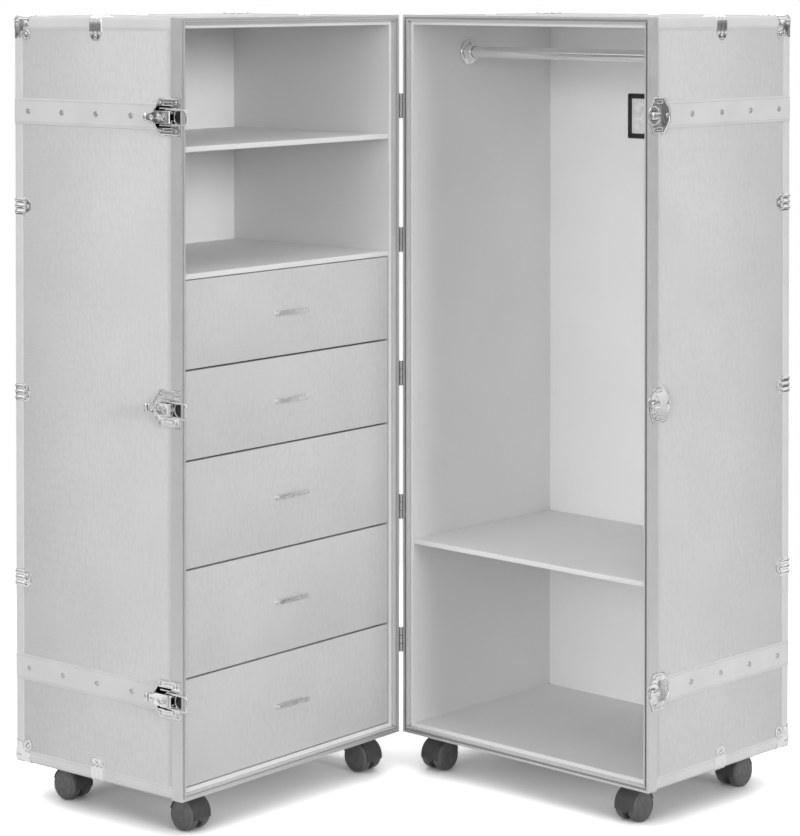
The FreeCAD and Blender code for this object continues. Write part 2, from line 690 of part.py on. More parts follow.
def hanging_rod():
    """Tube in two flanged end sockets."""
    height = CASE_HEIGHT - WALL - ROD_DROP
    foot = Vector(WALL, ROD_SETBACK, height)
    flange = facet_bar(SOCKET_RADIUS, foot, ACROSS, UP, SOCKET_FLANGE)
    cup = facet_bar(SOCKET_CUP_RADIUS, foot, ACROSS, UP, SOCKET_LENGTH)
    bore_start = foot + ACROSS * SOCKET_FLANGE
    bore = facet_hole(ROD_RADIUS + ROD_FIT, bore_start, ACROSS, UP, SOCKET_LENGTH, ROD_FACETS)
    socket = flange.fuse(cup).cut(bore)
    length = HALF_WIDTH - 2 * (WALL + SOCKET_FLANGE)
    tube = facet_bar(ROD_RADIUS, bore_start, ACROSS, UP, length, ROD_FACETS)
    tube = tube.cut(facet_bar(ROD_RADIUS - ROD_WALL, bore_start, ACROSS, UP, length, ROD_FACETS))
    return [tube, socket, across_mirror(socket)]


def card_holder():
    left = WALL + CARD_INSET
    front = INNER_DEPTH - CARD_THICKNESS
    top = CASE_HEIGHT - CARD_DROP
    plate = box(left, left + CARD_WIDTH, front, INNER_DEPTH, top - CARD_HEIGHT, top)
    pocket = box(
        left + CARD_BORDER, left + CARD_WIDTH - CARD_BORDER, front, front + CARD_POCKET,
        top - CARD_HEIGHT + CARD_BORDER, top - CARD_BORDER,
    )
    return plate.cut(pocket)


# --- casters ---
def caster_places():
    """(w, d) of each swivel axis."""
    widths = (CASTER_HINGE_INSET, HALF_WIDTH - CASTER_LATCH_INSET)
    depths = (CASTER_DEPTH_INSET, HALF_DEPTH - CASTER_DEPTH_INSET)
    return [(w, d) for w in widths for d in depths]


def caster_plate(w, d):
    """Top plate and the kingpin below it."""
    half = CASTER_PLATE_SIDE / 2
    plate = box(w - half, w + half, d - half, d + half, -CASTER_PLATE, 0)
    foot = Vector(w, d, -CASTER_PLATE - KINGPIN_LENGTH)
    return [plate, facet_bar(KINGPIN_RADIUS, foot, UP, ACROSS, KINGPIN_LENGTH, PIN_FACETS)]


def wheel_centre(w, d):
    return Vector(w, d - CASTER_TRAIL, WHEEL_RADIUS - CASTER_HEIGHT)


def across_prism(w, d, outline, half_length):
    """A solid on an outline of (d, z) pairs about the axle, as wide as twice half_length."""
    centre = wheel_centre(w, d)
    points = [centre + Vector(-half_length, x, z) for x, z in outline]
    return prism(points, ACROSS * 2 * half_length)


def tangent_angle(radius, x, y):
    """Degrees between a point's direction from a circle's centre and where its tangent touches."""
    return math.degrees(math.acos(radius / math.hypot(x, y)))


def caster_neck(w, d):
    """The hood's neck: round about the swivel axis and widening forwards."""
    foot = Vector(w, d, -CASTER_PLATE - MOVING_GAP - NECK_LENGTH)
    front = math.degrees(math.atan2(-NECK_FRONT, NECK_HALF_WIDTH))
    start = front + tangent_angle(NECK_RADIUS, NECK_HALF_WIDTH, NECK_FRONT)
    rear = [foot + Vector(x, y, 0) for x, y in arc(0, 0, NECK_RADIUS, start, 180 - start, 2)]
    sides = [foot + Vector(side * NECK_HALF_WIDTH, -NECK_FRONT, 0) for side in (-1, 1)]
    return edged_prism([round_arc(rear)] + lines([rear[-1]] + sides + [rear[0]]), UP * NECK_LENGTH)


def caster_web(w, d, top, hood_end):
    """The plate between the wheels, from the hood down to its round foot about the axle."""
    half = CASTER_WEB / 2
    reach = tangent_angle(AXLE_BOSS, top, 0)
    start = wheel_centre(w, d) - ACROSS * half
    upper = [start + Vector(0, x, z) for x, z in arc(0, 0, top, HOOD_START, hood_end, HOOD_FACETS)]
    foot = [start + Vector(0, x, z) for x, z in arc(0, 0, AXLE_BOSS, hood_end + reach, HOOD_START + 360 - reach, 2)]
    return edged_prism([round_arc(foot)] + lines([foot[-1]] + upper + [foot[0]]), ACROSS * CASTER_WEB)


def caster_housing(w, d):
    """Hood over both wheels, middle web round the axle, and the neck that swivels on the kingpin."""
    outer_face = CASTER_WEB / 2 + WHEEL_SIDE_GAP + WHEEL_WIDTH
    wheel_space = WHEEL_RADIUS + HOOD_GAP
    hood_end = HOOD_START + HOOD_SWEEP
    over = arc(0, 0, wheel_space + HOOD_WALL, HOOD_START, hood_end, HOOD_FACETS)
    under = arc(0, 0, wheel_space, hood_end, HOOD_START, HOOD_FACETS)
    housing = across_prism(w, d, over + under, outer_face - HOOD_SETBACK)
    housing = housing.fuse(caster_web(w, d, wheel_space + HOOD_WALL / 2, hood_end))
    housing = housing.fuse(caster_neck(w, d).cut(across_prism(w, d, under + [(0, 0)], outer_face)))
    axle_end = wheel_centre(w, d) - ACROSS * CASTER_WEB / 2
    housing = housing.cut(facet_hole(AXLE_RADIUS + TURNING_FIT, axle_end, ACROSS, UP, CASTER_WEB))
    bore_bottom = -CASTER_PLATE - KINGPIN_LENGTH - MOVING_GAP
    bore = facet_hole(KINGPIN_RADIUS + TURNING_FIT, Vector(w, d, bore_bottom), UP, ACROSS, -bore_bottom)
    return housing.cut(bore).removeSplitter()


def caster_wheels(w, d):
    """Two wheels on one axle, with a flat of each wheel on the floor."""
    inner = CASTER_WEB / 2 + WHEEL_SIDE_GAP
    outer = inner + WHEEL_WIDTH
    centre = wheel_centre(w, d)
    corner = WHEEL_RADIUS / math.cos(math.pi / WHEEL_FACETS)
    first = Rotation(ACROSS, 180 / WHEEL_FACETS).multVec(UP)
    axle = facet_bar(AXLE_RADIUS, centre - ACROSS * inner, ACROSS, UP, 2 * inner, PIN_FACETS)
    pieces = [axle]
    for side in (-1, 1):
        rings = []
        for x, radius in ((inner, corner), (outer - WHEEL_BEVEL, corner), (outer, corner - WHEEL_BEVEL)):
            points = ring_points(centre + ACROSS * side * x, radius, ACROSS, first, WHEEL_FACETS)
            rings.append(Part.makePolygon(points + points[:1]))
        tread = Part.makeLoft(rings[:2], True, True)
        pieces.append(tread.fuse(Part.makeLoft(rings[1:], True, True)).removeSplitter())
    return pieces


# --- the two halves in the world frame ---
def place_drawer_half(shape):
    """Half frame to world frame: w along -Y, d along -X."""
    placed = shape.mirror(ORIGIN, ACROSS)
    placed.rotate(ORIGIN, UP, 90)
    placed.translate(Vector(PIN_D, PIN_W, CASTER_HEIGHT))
    return placed


def place_hanging_half(shape):
    """Half frame to world frame: w along +X, d along +Y, then swung to the opening angle."""
    placed = shape.copy()
    placed.translate(Vector(-PIN_W, -PIN_D, CASTER_HEIGHT))
    placed.rotate(ORIGIN, UP, OPENING_ANGLE - 90)
    return placed


def build():
    """Every node's solids in the world frame."""
    metal = clamps() + at_rear_corners(ball_corner())
    bands = straps()
    trim = bands + [binding(bands)]
    outer_leaves, middle_leaves = hinges()
    latch_heights = spread(*FITTING_HEIGHTS, LATCH_COUNT)
    drawer_half = {
        "left_leather": [leather()],
        "left_shell": shell(),
        "left_liner": liner(),
        "left_frame": closing_frame(True),
        "left_trim": trim,
        "left_hardware": metal,
        "left_shelves": drawer_half_shelves(),
        "drawer_runners": drawer_runners(),
        "hinge_leaves_left": outer_leaves,
        "latch_plates": [piece for height in latch_heights for piece in latch_plate(height, bands)],
        "left_caster_plates": [piece for w, d in caster_places() for piece in caster_plate(w, d)],
    }
    hanging_half = {
        "right_leather": [leather()],
        "right_shell": shell(),
        "right_liner": liner(),
        "right_frame": closing_frame(False),
        "right_trim": trim,
        "right_hardware": metal,
        "right_shelf": [shelf(WALL + LOWER_SPACE_HEIGHT)],
        "hanging_rod": hanging_rod(),
        "card_holder": [card_holder()],
        "hinge_leaves_right": middle_leaves,
        "latch_catches": [piece for height in latch_heights for piece in catch_plate(height, bands)],
        "right_caster_plates": [piece for w, d in caster_places() for piece in caster_plate(w, d)],
    }
    for number, (low, high) in enumerate(reversed(drawer_rows()), 1):
        drawer_half[f"drawer_{number}_front"] = [drawer_front(low, high)]
        drawer_half[f"drawer_{number}_box"] = drawer_box(low, high)
        drawer_half[f"drawer_{number}_handle"] = [drawer_handle(low, high)]
    for number, height in enumerate(reversed(latch_heights), 1):
        lever, loop = latch_moving_parts(height)
        drawer_half[f"latch_lever_{number}"] = [lever]
        drawer_half[f"latch_loop_{number}"] = [loop]
    places = caster_places()
    for half, first in ((drawer_half, 1), (hanging_half, 1 + len(places))):
        for number, (w, d) in enumerate(places, first):
            half[f"caster_{number}_housing"] = [caster_housing(w, d)]
            half[f"caster_{number}_wheels"] = caster_wheels(w, d)
    nodes = {}
    for half, place in ((drawer_half, place_drawer_half), (hanging_half, place_hanging_half)):
        for name, shapes in half.items():
            nodes[name] = [solid for shape in shapes for solid in place(shape).Solids]
    return nodes


os.makedirs("parts", exist_ok=True)
for node, solids in build().items():
    Part.makeCompound(solids).exportStep(f"parts/{node}.step")
    print(node, len(solids), "solids", round(sum(solid.Volume for solid in solids) / 1000, 1), "cm3")
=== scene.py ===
import bmesh
import bpy
import json
import math
from mathutils import Matrix, Vector


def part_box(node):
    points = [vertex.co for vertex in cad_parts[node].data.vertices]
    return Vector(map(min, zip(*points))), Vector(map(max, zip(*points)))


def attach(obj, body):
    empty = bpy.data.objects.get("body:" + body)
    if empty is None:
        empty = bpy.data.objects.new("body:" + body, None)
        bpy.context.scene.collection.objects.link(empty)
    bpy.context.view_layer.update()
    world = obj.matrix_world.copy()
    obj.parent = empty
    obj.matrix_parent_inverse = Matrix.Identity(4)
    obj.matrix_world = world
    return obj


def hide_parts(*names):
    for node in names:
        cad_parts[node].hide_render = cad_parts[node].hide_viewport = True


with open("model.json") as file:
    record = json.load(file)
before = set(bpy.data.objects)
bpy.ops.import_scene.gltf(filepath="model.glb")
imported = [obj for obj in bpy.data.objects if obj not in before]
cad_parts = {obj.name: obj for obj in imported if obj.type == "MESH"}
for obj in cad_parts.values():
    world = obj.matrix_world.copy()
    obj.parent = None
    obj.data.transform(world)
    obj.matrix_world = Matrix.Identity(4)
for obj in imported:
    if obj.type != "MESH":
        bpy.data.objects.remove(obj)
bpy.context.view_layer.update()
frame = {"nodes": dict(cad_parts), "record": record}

# Wardrobe trunk in two halves. Each half is built in its own frame, in millimetres: w runs across from
# its hinge side, d runs back from its closing plane, z runs up from the underside of the case.
MM = 0.001
BODY = {"left": "drawer_half", "right": "hanging_half"}
OPENING = math.radians(86)                # how far the trunk stands open
CASTER_HEIGHT = 65.0                      # floor to the underside of the case
CLOSING_GAP = 1.0
FRAME_WALL = 1.2
KNUCKLE = 4.0                             # radius of a hinge's knuckle
PIN_OUT = FRAME_WALL + KNUCKLE            # hinge pin outside the leather
low_corner, high_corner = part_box("left_leather")
WIDTH = (high_corner.y - low_corner.y) / MM
DEPTH = -low_corner.x / MM - CLOSING_GAP / 2
LEATHER_FRONT = -high_corner.x / MM - CLOSING_GAP / 2
HEIGHT = (high_corner.z - low_corner.z) / MM
ACROSS, BACK, UP = Vector((1, 0, 0)), Vector((0, 1, 0)), Vector((0, 0, 1))
MIRROR = Matrix(((0, -1, 0, 0), (-1, 0, 0, 0), (0, 0, 1, 0), (0, 0, 0, 1)))
PLACE = {
    "left": Matrix.Scale(MM, 4) @ Matrix.Translation((-CLOSING_GAP / 2, -PIN_OUT, CASTER_HEIGHT)) @ MIRROR,
    "right": Matrix.Scale(MM, 4) @ Matrix.Rotation(OPENING - math.pi / 2, 4, "Z")
    @ Matrix.Translation((PIN_OUT, CLOSING_GAP / 2, CASTER_HEIGHT)),
}


def half_box(node, half):
    """A node's lowest and highest (w, d, z) in its half's frame."""
    to_half = PLACE[half].inverted()
    points = [to_half @ vertex.co for vertex in frame["nodes"][node].data.vertices]
    low = Vector(min(point[axis] for point in points) for axis in range(3))
    high = Vector(max(point[axis] for point in points) for axis in range(3))
    return low, high


# --- materials ---
class Nodes:
    """A node tree, with short calls for the nodes used here."""

    def __init__(self, tree):
        self.tree = tree

    def add(self, kind, **inputs):
        node = self.tree.nodes.new("ShaderNode" + kind)
        for key, value in inputs.items():
            self.feed(node.inputs[key.replace("_", " ")], value)
        return node

    def feed(self, socket, value):
        if isinstance(value, bpy.types.NodeSocket):
            self.tree.links.new(value, socket)
        else:
            socket.default_value = value

    def math(self, operation, *values):
        node = self.add("Math")
        node.operation = operation
        for socket, value in zip(node.inputs, values):
            self.feed(socket, value)
        return node.outputs[0]

    def vector(self, operation, first, **inputs):
        node = self.add("VectorMath", Vector=first)
        node.operation = operation
        for key, value in inputs.items():
            self.feed(node.inputs[key], value)
        return node

    def ramp(self, value, *stops):
        node = self.add("ValToRGB", Fac=value)
        elements = node.color_ramp.elements
        for element, (place, colour) in zip(elements, stops):
            element.position = place
            element.color = grey(colour) if isinstance(colour, float) else colour
        return node.outputs[0]

    def mix(self, share, first, second):
        return self.add("MixRGB", Fac=share, Color1=first, Color2=second).outputs[0]

    def multiply(self, first, second):
        node = self.add("MixRGB", Fac=1.0, Color1=first, Color2=second)
        node.blend_type = "MULTIPLY"
        return node.outputs[0]

    def mix_shaders(self, share, first, second):
        node = self.add("MixShader", Fac=share)
        self.feed(node.inputs[1], first)
        self.feed(node.inputs[2], second)
        return node.outputs[0]


class Surface(Nodes):
    """A material with its shader."""

    def __init__(self, name, **values):
        self.material = bpy.data.materials.new(name)
        self.material.use_nodes = True
        super().__init__(self.material.node_tree)
        self.shader = self.tree.nodes["Principled BSDF"]
        for key, value in values.items():
            self.set(key, value)

    def set(self, key, value):
        self.feed(self.shader.inputs[key.replace("_", " ")], value)

    def coordinates(self, kind="Object", scale=(1, 1, 1)):
        source = self.add("TexCoord").outputs[kind]
        return self.add("Mapping", Vector=source, Scale=scale).outputs[0]

    def bump(self, height, depth, strength):
        self.set("Normal", self.add("Bump", Height=height, Distance=depth, Strength=strength).outputs[0])


def grey(value):
    return (value, value, value, 1.0)


def crocodile(name, shade):
    """Embossed leather: soft upright columns of scales, with patches of small ones."""
    n = Surface(name, Roughness=0.45, Coat_Weight=0.1, Coat_Roughness=0.3)
    uv = n.coordinates("UV")
    drift = n.add("TexNoise", Vector=uv, Scale=7.0, Detail=2.0)
    bend = n.vector("SCALE", drift.outputs["Color"], Scale=0.03)
    moved = n.vector("ADD", uv)
    n.feed(moved.inputs[1], bend.outputs[0])
    columns = n.add("Mapping", Vector=moved.outputs[0], Scale=(135.0, 66.0, 1.0)).outputs[0]
    wide = n.add("TexVoronoi", Vector=columns, Scale=1.0, Randomness=0.75)
    wide.feature = "SMOOTH_F1"
    wide.inputs["Smoothness"].default_value = 0.35
    wide.voronoi_dimensions = "2D"
    small = n.add("TexVoronoi", Vector=columns, Scale=2.3, Randomness=0.85)
    small.feature = "DISTANCE_TO_EDGE"
    small.voronoi_dimensions = "2D"
    wide_form = n.ramp(wide.outputs["Distance"], (0.15, 1.0), (0.75, 0.0))
    small_form = n.ramp(small.outputs["Distance"], (0.0, 0.1), (0.25, 0.9))
    patches = n.add("TexNoise", Vector=uv, Scale=3.4, Detail=1.0)
    form = n.mix(n.ramp(patches.outputs["Fac"], (0.5, 0.0), (0.62, 1.0)), wide_form, small_form)
    upright = n.add("Mapping", Vector=moved.outputs[0], Scale=(170.0, 16.0, 1.0)).outputs[0]
    streaks = n.add("TexNoise", Vector=upright, Scale=1.0, Detail=4.0)
    pores = n.add("TexNoise", Vector=uv, Scale=900.0, Detail=2.0)
    height = n.math("ADD", form, n.math("MULTIPLY", pores.outputs["Fac"], 0.15))
    height = n.math("ADD", height, n.math("MULTIPLY", streaks.outputs["Fac"], 0.9))
    n.bump(height, 0.001, 0.26)
    tone = n.add("TexNoise", Vector=uv, Scale=6.0, Detail=4.0)
    base = n.ramp(tone.outputs["Fac"], (0.3, shade * 0.96), (0.7, shade * 1.03))
    shadows = n.math("MULTIPLY", form, streaks.outputs["Fac"])
    n.set("Base Color", n.multiply(base, n.ramp(shadows, (0.05, 0.965), (0.45, 1.01))))
    return n.material


def smooth_leather(name, shade):
    """Folded leather, with painted shade where an edge or crease lies close."""
    n = Surface(name, Roughness=0.48, Coat_Weight=0.08)
    place = n.coordinates()
    grain = n.add("TexVoronoi", Vector=place, Scale=1300.0)
    folds = n.add("TexNoise", Vector=place, Scale=160.0, Detail=4.0)
    height = n.math("ADD", grain.outputs["Distance"], n.math("MULTIPLY", folds.outputs["Fac"], 1.5))
    n.bump(height, 0.0002, 0.35)
    tone = n.add("TexNoise", Vector=place, Scale=14.0, Detail=5.0)
    base = n.ramp(tone.outputs["Fac"], (0.3, shade * 0.95), (0.7, shade * 1.04))
    # painted shade: occlusion darkens the colour near edges, creases and the parts the leather meets
    near = n.add("AmbientOcclusion", Distance=0.0025)
    n.set("Base Color", n.multiply(base, n.ramp(near.outputs["AO"], (0.3, 0.45), (0.85, 1.0))))
    return n.material


def lining(name, shade):
    """Pale leathercloth with a fine pebbled grain."""
    n = Surface(name, Roughness=0.62)
    place = n.coordinates()
    grain = n.add("TexVoronoi", Vector=place, Scale=620.0)
    fine = n.add("TexNoise", Vector=place, Scale=1400.0, Detail=2.0)
    height = n.math("ADD", grain.outputs["Distance"], n.math("MULTIPLY", fine.outputs["Fac"], 0.4))
    n.bump(height, 0.0003, 0.3)
    tone = n.add("TexNoise", Vector=place, Scale=5.0, Detail=6.0)
    n.set("Base Color", n.ramp(tone.outputs["Fac"], (0.3, shade * 0.97), (0.7, shade * 1.02)))
    return n.material


def metal(name, shade, roughness, brushed=0.0, creases=0.0, crease_shade=0.12, metallic=1.0):
    """Chrome, or satin metal with brush marks along Z. Its creases, to a depth in metres, are darkened with
    painted shade, which leaves them the given share of the colour."""
    n = Surface(name, Metallic=metallic, Roughness=roughness)
    wear = n.add("TexNoise", Vector=n.coordinates(), Scale=60.0, Detail=6.0)
    n.set("Roughness", n.ramp(wear.outputs["Fac"], (0.35, roughness * 0.8), (0.75, roughness * 1.25)))
    tone = n.ramp(wear.outputs["Fac"], (0.3, shade * 0.96), (0.7, shade))
    # painted shade: occlusion darkens the colour in creases and recesses
    if creases:
        near = n.add("AmbientOcclusion", Distance=creases)
        tone = n.multiply(tone, n.ramp(near.outputs["AO"], (0.45, crease_shade), (0.9, 1.0)))
    n.set("Base Color", tone)
    if brushed:
        along = n.coordinates(scale=(900.0, 900.0, 12.0))
        n.bump(n.add("TexNoise", Vector=along, Scale=1.0, Detail=3.0).outputs["Fac"], 0.0001, brushed)
    return n.material


def wood(name, dark, light):
    """Figure that runs along Z."""
    n = Surface(name, Roughness=0.5)
    along = n.coordinates(scale=(60.0, 60.0, 5.0))
    rings = n.add("TexNoise", Vector=along, Scale=1.0, Detail=6.0, Distortion=0.6)
    n.set("Base Color", n.ramp(rings.outputs["Fac"], (0.3, dark), (0.7, light)))
    n.bump(rings.outputs["Fac"], 0.0002, 0.3)
    return n.material


def plastic(name, shade, roughness):
    """Moulded plastic with a fine spark-eroded grain and scuffs; enamel and paper are made of it too."""
    n = Surface(name, Roughness=roughness)
    grain = n.add("TexNoise", Vector=n.coordinates(), Scale=1800.0, Detail=2.0)
    n.bump(grain.outputs["Fac"], 0.0001, 0.4)
    scuffs = n.add("TexNoise", Vector=n.coordinates(), Scale=90.0, Detail=6.0).outputs["Fac"]
    n.set("Base Color", n.ramp(scuffs, (0.35, shade * 0.85), (0.75, shade * 1.2)))
    n.set("Roughness", n.ramp(scuffs, (0.3, roughness), (0.8, roughness * 1.25)))
    return n.material


MATERIALS = {
    "leather": crocodile("crocodile_leather", 0.6),
    # a lighter copy of the case's leather: painted light, so that the drawer fronts, which get less light,
    # show as bright as the walls
    "drawer_front": crocodile("drawer_front_lightened_leather", 0.645),
    "trim_leather": smooth_leather("trim_leather", 0.73),
    "lining": lining("lining", 0.83),
    "frame_metal": metal("anodised_aluminium", 0.76, 0.38, brushed=0.06, creases=0.004, crease_shade=0.5,
                         metallic=0.65),
    "chrome": metal("chrome", 0.96, 0.12, creases=0.005, crease_shade=0.3),
    "steel": metal("hinge_steel", 0.58, 0.28, brushed=0.1, creases=0.003),
    "handle_metal": metal("satin_nickel", 0.95, 0.28),
    "rivet_metal": metal("rivet_nickel", 0.8, 0.42, creases=0.003, crease_shade=0.4),
    "plywood": wood("plywood", (0.42, 0.30, 0.18, 1), (0.60, 0.46, 0.30, 1)),
    "drawer_wood": wood("birch", (0.62, 0.55, 0.44, 1), (0.74, 0.67, 0.56, 1)),
    "caster_plastic": plastic("caster_plastic", 0.065, 0.42),
    "caster_wheel": plastic("caster_wheel", 0.115, 0.38),
    "card_frame": plastic("black_enamel", 0.018, 0.35),
    "card": plastic("paper", 0.75, 0.7),
}
for part in frame["record"]["subparts"]:
    mesh = frame["nodes"][part["node"]].data
    mesh.materials.clear()
    mesh.materials.append(MATERIALS[part["material_slot"]])

# --- mesh tools ---
def arc(x, y, radius, start, end, steps):
    """Points on an arc in a plane, angles in degrees."""
    angles = [math.radians(start + (end - start) * index / steps) for index in range(steps + 1)]
    return [(x + radius * math.cos(angle), y + radius * math.sin(angle)) for angle in angles]


def spread(first, last, count):
    """Evenly spaced values, both ends included."""
    return [first + (last - first) * index / (count - 1) for index in range(count)]


def axes(origin, x_axis, y_axis):
    """The frame with these two axes at an origin."""
    x_axis, y_axis = Vector(x_axis).normalized(), Vector(y_axis).normalized()
    turn = Matrix((x_axis, y_axis, x_axis.cross(y_axis))).transposed()
    return Matrix.Translation(origin) @ turn.to_4x4()


def inset(outline, amount):
    """The outline moved in by an amount, running anticlockwise."""
    points = [Vector(point) for point in outline]
    if sum(a.x * b.y - b.x * a.y for a, b in zip(points, points[1:] + points[:1])) < 0:
        points.reverse()
    moved = []
    for index, point in enumerate(points):
        before = (point - points[index - 1]).normalized()
        after = (points[(index + 1) % len(points)] - point).normalized()
        first, second = Vector((-before.y, before.x)), Vector((-after.y, after.x))
        moved.append(point + (first + second) * amount / max(0.3, 1 + first.dot(second)))
    return moved


def panel(x0, x1, y0, y1, radius, steps=4):
    """A rectangle with round corners."""
    corners = ((x1 - radius, y1 - radius, 0), (x0 + radius, y1 - radius, 90),
               (x0 + radius, y0 + radius, 180), (x1 - radius, y0 + radius, 270))
    return [point for x, y, start in corners for point in arc(x, y, radius, start, start + 90, steps)]


class Form:
    """A mesh in the making; place is the frame that the next solids go into."""

    def __init__(self):
        self.bm = bmesh.new()
        self.place = Matrix.Identity(4)

    def join(self, part):
        part.transform(self.place)
        if self.place.determinant() < 0:
            bmesh.ops.reverse_faces(part, faces=part.faces)
        mesh = bpy.data.meshes.new("part")
        part.to_mesh(mesh)
        part.free()
        self.bm.from_mesh(mesh)
        bpy.data.meshes.remove(mesh)

    def loft(self, rings):
        """A solid through rings of as many points each."""
        part = bmesh.new()
        made = [[part.verts.new(point) for point in ring] for ring in rings]
        for ring, after in zip(made, made[1:]):
            for index in range(len(ring)):
                other = (index + 1) % len(ring)
                part.faces.new((ring[index], ring[other], after[other], after[index]))
        part.faces.new(made[0][::-1])
        part.faces.new(made[-1])
        bmesh.ops.recalc_face_normals(part, faces=part.faces)
        self.join(part)

    def layers(self, outline, levels):
        """A solid through rings of the outline: levels holds (inset, z) from its foot to its top."""
        self.loft([[(*point, z) for point in inset(outline, amount)] for amount, z in levels])

    def sweep(self, section, stations):
        """A section of (x, y) carried through a list of frames."""
        self.loft([[station @ Vector((x, y, 0)) for x, y in section] for station in stations])

    def prism(self, outline, z0, z1, bevel=0.0, both=False):
        """A straight solid with its top edges rounded, and its foot's where both is set."""
        if not bevel:
            self.layers(outline, [(0, z0), (0, z1)])
            return
        turns = [math.radians(angle) for angle in (0, 30, 60, 90)]
        top = [(bevel * (1 - math.cos(turn)), z1 - bevel + bevel * math.sin(turn)) for turn in turns]
        foot = [(amount, z0 + z1 - z) for amount, z in reversed(top)] if both else [(0, z0)]
        self.layers(outline, foot + top)

    def block(self, low, high, bevel, segments):
        """A box with all its edges rounded."""
        part = bmesh.new()
        bmesh.ops.create_cube(part, size=1.0)
        size = Vector(high) - Vector(low)
        middle = (Vector(high) + Vector(low)) / 2
        part.transform(Matrix.Translation(middle) @ Matrix.Diagonal((*size, 1.0)))
        edges = part.edges[:]
        bmesh.ops.bevel(part, geom=edges, offset=bevel, segments=segments, profile=0.5, affect="EDGES")
        self.join(part)

    def turned(self, profile, steps=24, sweep=360.0, hollow=False):
        """A turned solid about z: profile holds (radius, z) from bottom to top, or round a hollow form."""
        part = bmesh.new()
        whole = sweep == 360.0
        rings = []
        for index in range(steps if whole else steps + 1):
            angle = math.radians(sweep * index / steps)
            rings.append([part.verts.new((r * math.cos(angle), r * math.sin(angle), z)) for r, z in profile])
        pairs = zip(rings, rings[1:] + rings[:1]) if whole else zip(rings, rings[1:])
        for ring, after in pairs:
            for index in range(len(profile) - (0 if hollow else 1)):
                other = (index + 1) % len(profile)
                part.faces.new((ring[index], after[index], after[other], ring[other]))
        if not whole:
            part.faces.new(rings[0][::-1])
            part.faces.new(rings[-1])
        bmesh.ops.remove_doubles(part, verts=part.verts, dist=0.001)
        bmesh.ops.recalc_face_normals(part, faces=part.faces)
        self.join(part)

    def ribbon(self, path, half_widths, half_thickness, sides=16):
        """An oval bar along points in a plane z = constant, its width in that plane given at each point."""
        points = [Vector(point) for point in path]
        stations = []
        for index, (point, half_width) in enumerate(zip(points, half_widths)):
            forward = points[min(index + 1, len(points) - 1)] - points[max(index - 1, 0)]
            stations.append(axes(point, forward.cross(UP), UP) @ Matrix.Diagonal((half_width, 1, 1, 1)))
        turns = spread(0, 2 * math.pi, sides + 1)[:-1]
        self.sweep([(math.cos(turn), half_thickness * math.sin(turn)) for turn in turns], stations)

    def screw(self, x, y, z, radius, turn=0.0):
        """A slotted round-head screw standing on z: two half domes with a lower floor between them."""
        outer = self.place
        slot = radius * 0.14
        height = radius * 0.5
        turns = [math.radians(angle) for angle in (0, 22, 45, 68, 90)]
        dome = [(0.0, 0.0)] + [(radius * math.cos(turn), height * math.sin(turn)) for turn in turns]
        for side in (0.0, 180.0):
            spin = Matrix.Rotation(math.radians(turn + side), 4, "Z")
            self.place = outer @ Matrix.Translation((x, y, z)) @ spin @ Matrix.Translation((0, slot, 0))
            self.turned(dome, 8, 180.0)
        self.place = outer @ Matrix.Translation((x, y, z))
        self.turned([(radius * 0.94, 0.0), (radius * 0.9, height * 0.4), (0.0, height * 0.45)], 16)
        self.place = outer

    def piece(self, name, half, slot, body=None, hides=(), sharp=32, material=None):
        """The finished mesh as a piece on a body, with a map in metres on its flat faces."""
        uv = self.bm.loops.layers.uv.new("UVMap")
        for face in self.bm.faces:
            size = [abs(value) for value in face.normal]
            first, second = ((1, 2), (0, 2), (0, 1))[size.index(max(size))]
            for corner in face.loops:
                corner[uv].uv = (corner.vert.co[first] * MM, corner.vert.co[second] * MM)
        self.bm.transform(PLACE[half])
        if half == "left":
            bmesh.ops.reverse_faces(self.bm, faces=self.bm.faces)
        mesh = bpy.data.meshes.new(name)
        self.bm.to_mesh(mesh)
        self.bm.free()
        mesh.shade_smooth()
        mesh.set_sharp_from_angle(angle=math.radians(sharp))
        mesh.materials.append(MATERIALS[material or slot])
        made = bpy.data.objects.new(name, mesh)
        bpy.context.scene.collection.objects.link(made)
        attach(made, body or BODY[half])
        if hides:
            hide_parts(*hides)
        return made


# --- the case ---
EDGE_ROUND = 5.0
LEATHER = 1.4
SUNK = 0.2                                # how far a fitting's foot goes into the leather
FLANGE = 22.0                             # how far the frame reaches over the case's sides
STRAP_WIDTH = 43.0
STRAP_FACE = 1.9                          # where the rivets' feet are, just under a strap's face
BINDING = 20.0
LEVER_BOXES = [half_box(f"latch_lever_{number}", "left") for number in (1, 2, 3)]
LEVER_HEIGHTS = [(low.z + high.z) / 2 for low, high in LEVER_BOXES]
STRAP_HEIGHTS = (LEVER_HEIGHTS[0], LEVER_HEIGHTS[2])


def cover(half):
    """The leather skin, open at the front, with rounded edges."""
    form = Form()
    part = bmesh.new()
    bmesh.ops.create_cube(part, size=1.0)
    middle = Vector((WIDTH / 2, (LEATHER_FRONT + DEPTH) / 2, HEIGHT / 2))
    part.transform(Matrix.Translation(middle) @ Matrix.Diagonal((WIDTH, DEPTH - LEATHER_FRONT, HEIGHT, 1)))
    open_face = [face for face in part.faces if face.normal.y < -0.5]
    front = {edge for face in open_face for edge in face.edges}
    edges = [edge for edge in part.edges if edge not in front]
    bmesh.ops.delete(part, geom=open_face, context="FACES_ONLY")
    bmesh.ops.bevel(part, geom=edges, offset=EDGE_ROUND, segments=4, profile=0.5, affect="EDGES")
    form.join(part)
    piece = form.piece(f"{half}_cover", half, "leather", hides=[f"{half}_leather"])
    skin = piece.modifiers.new("thickness", "SOLIDIFY")
    skin.thickness = LEATHER * MM
    skin.offset = -1.0


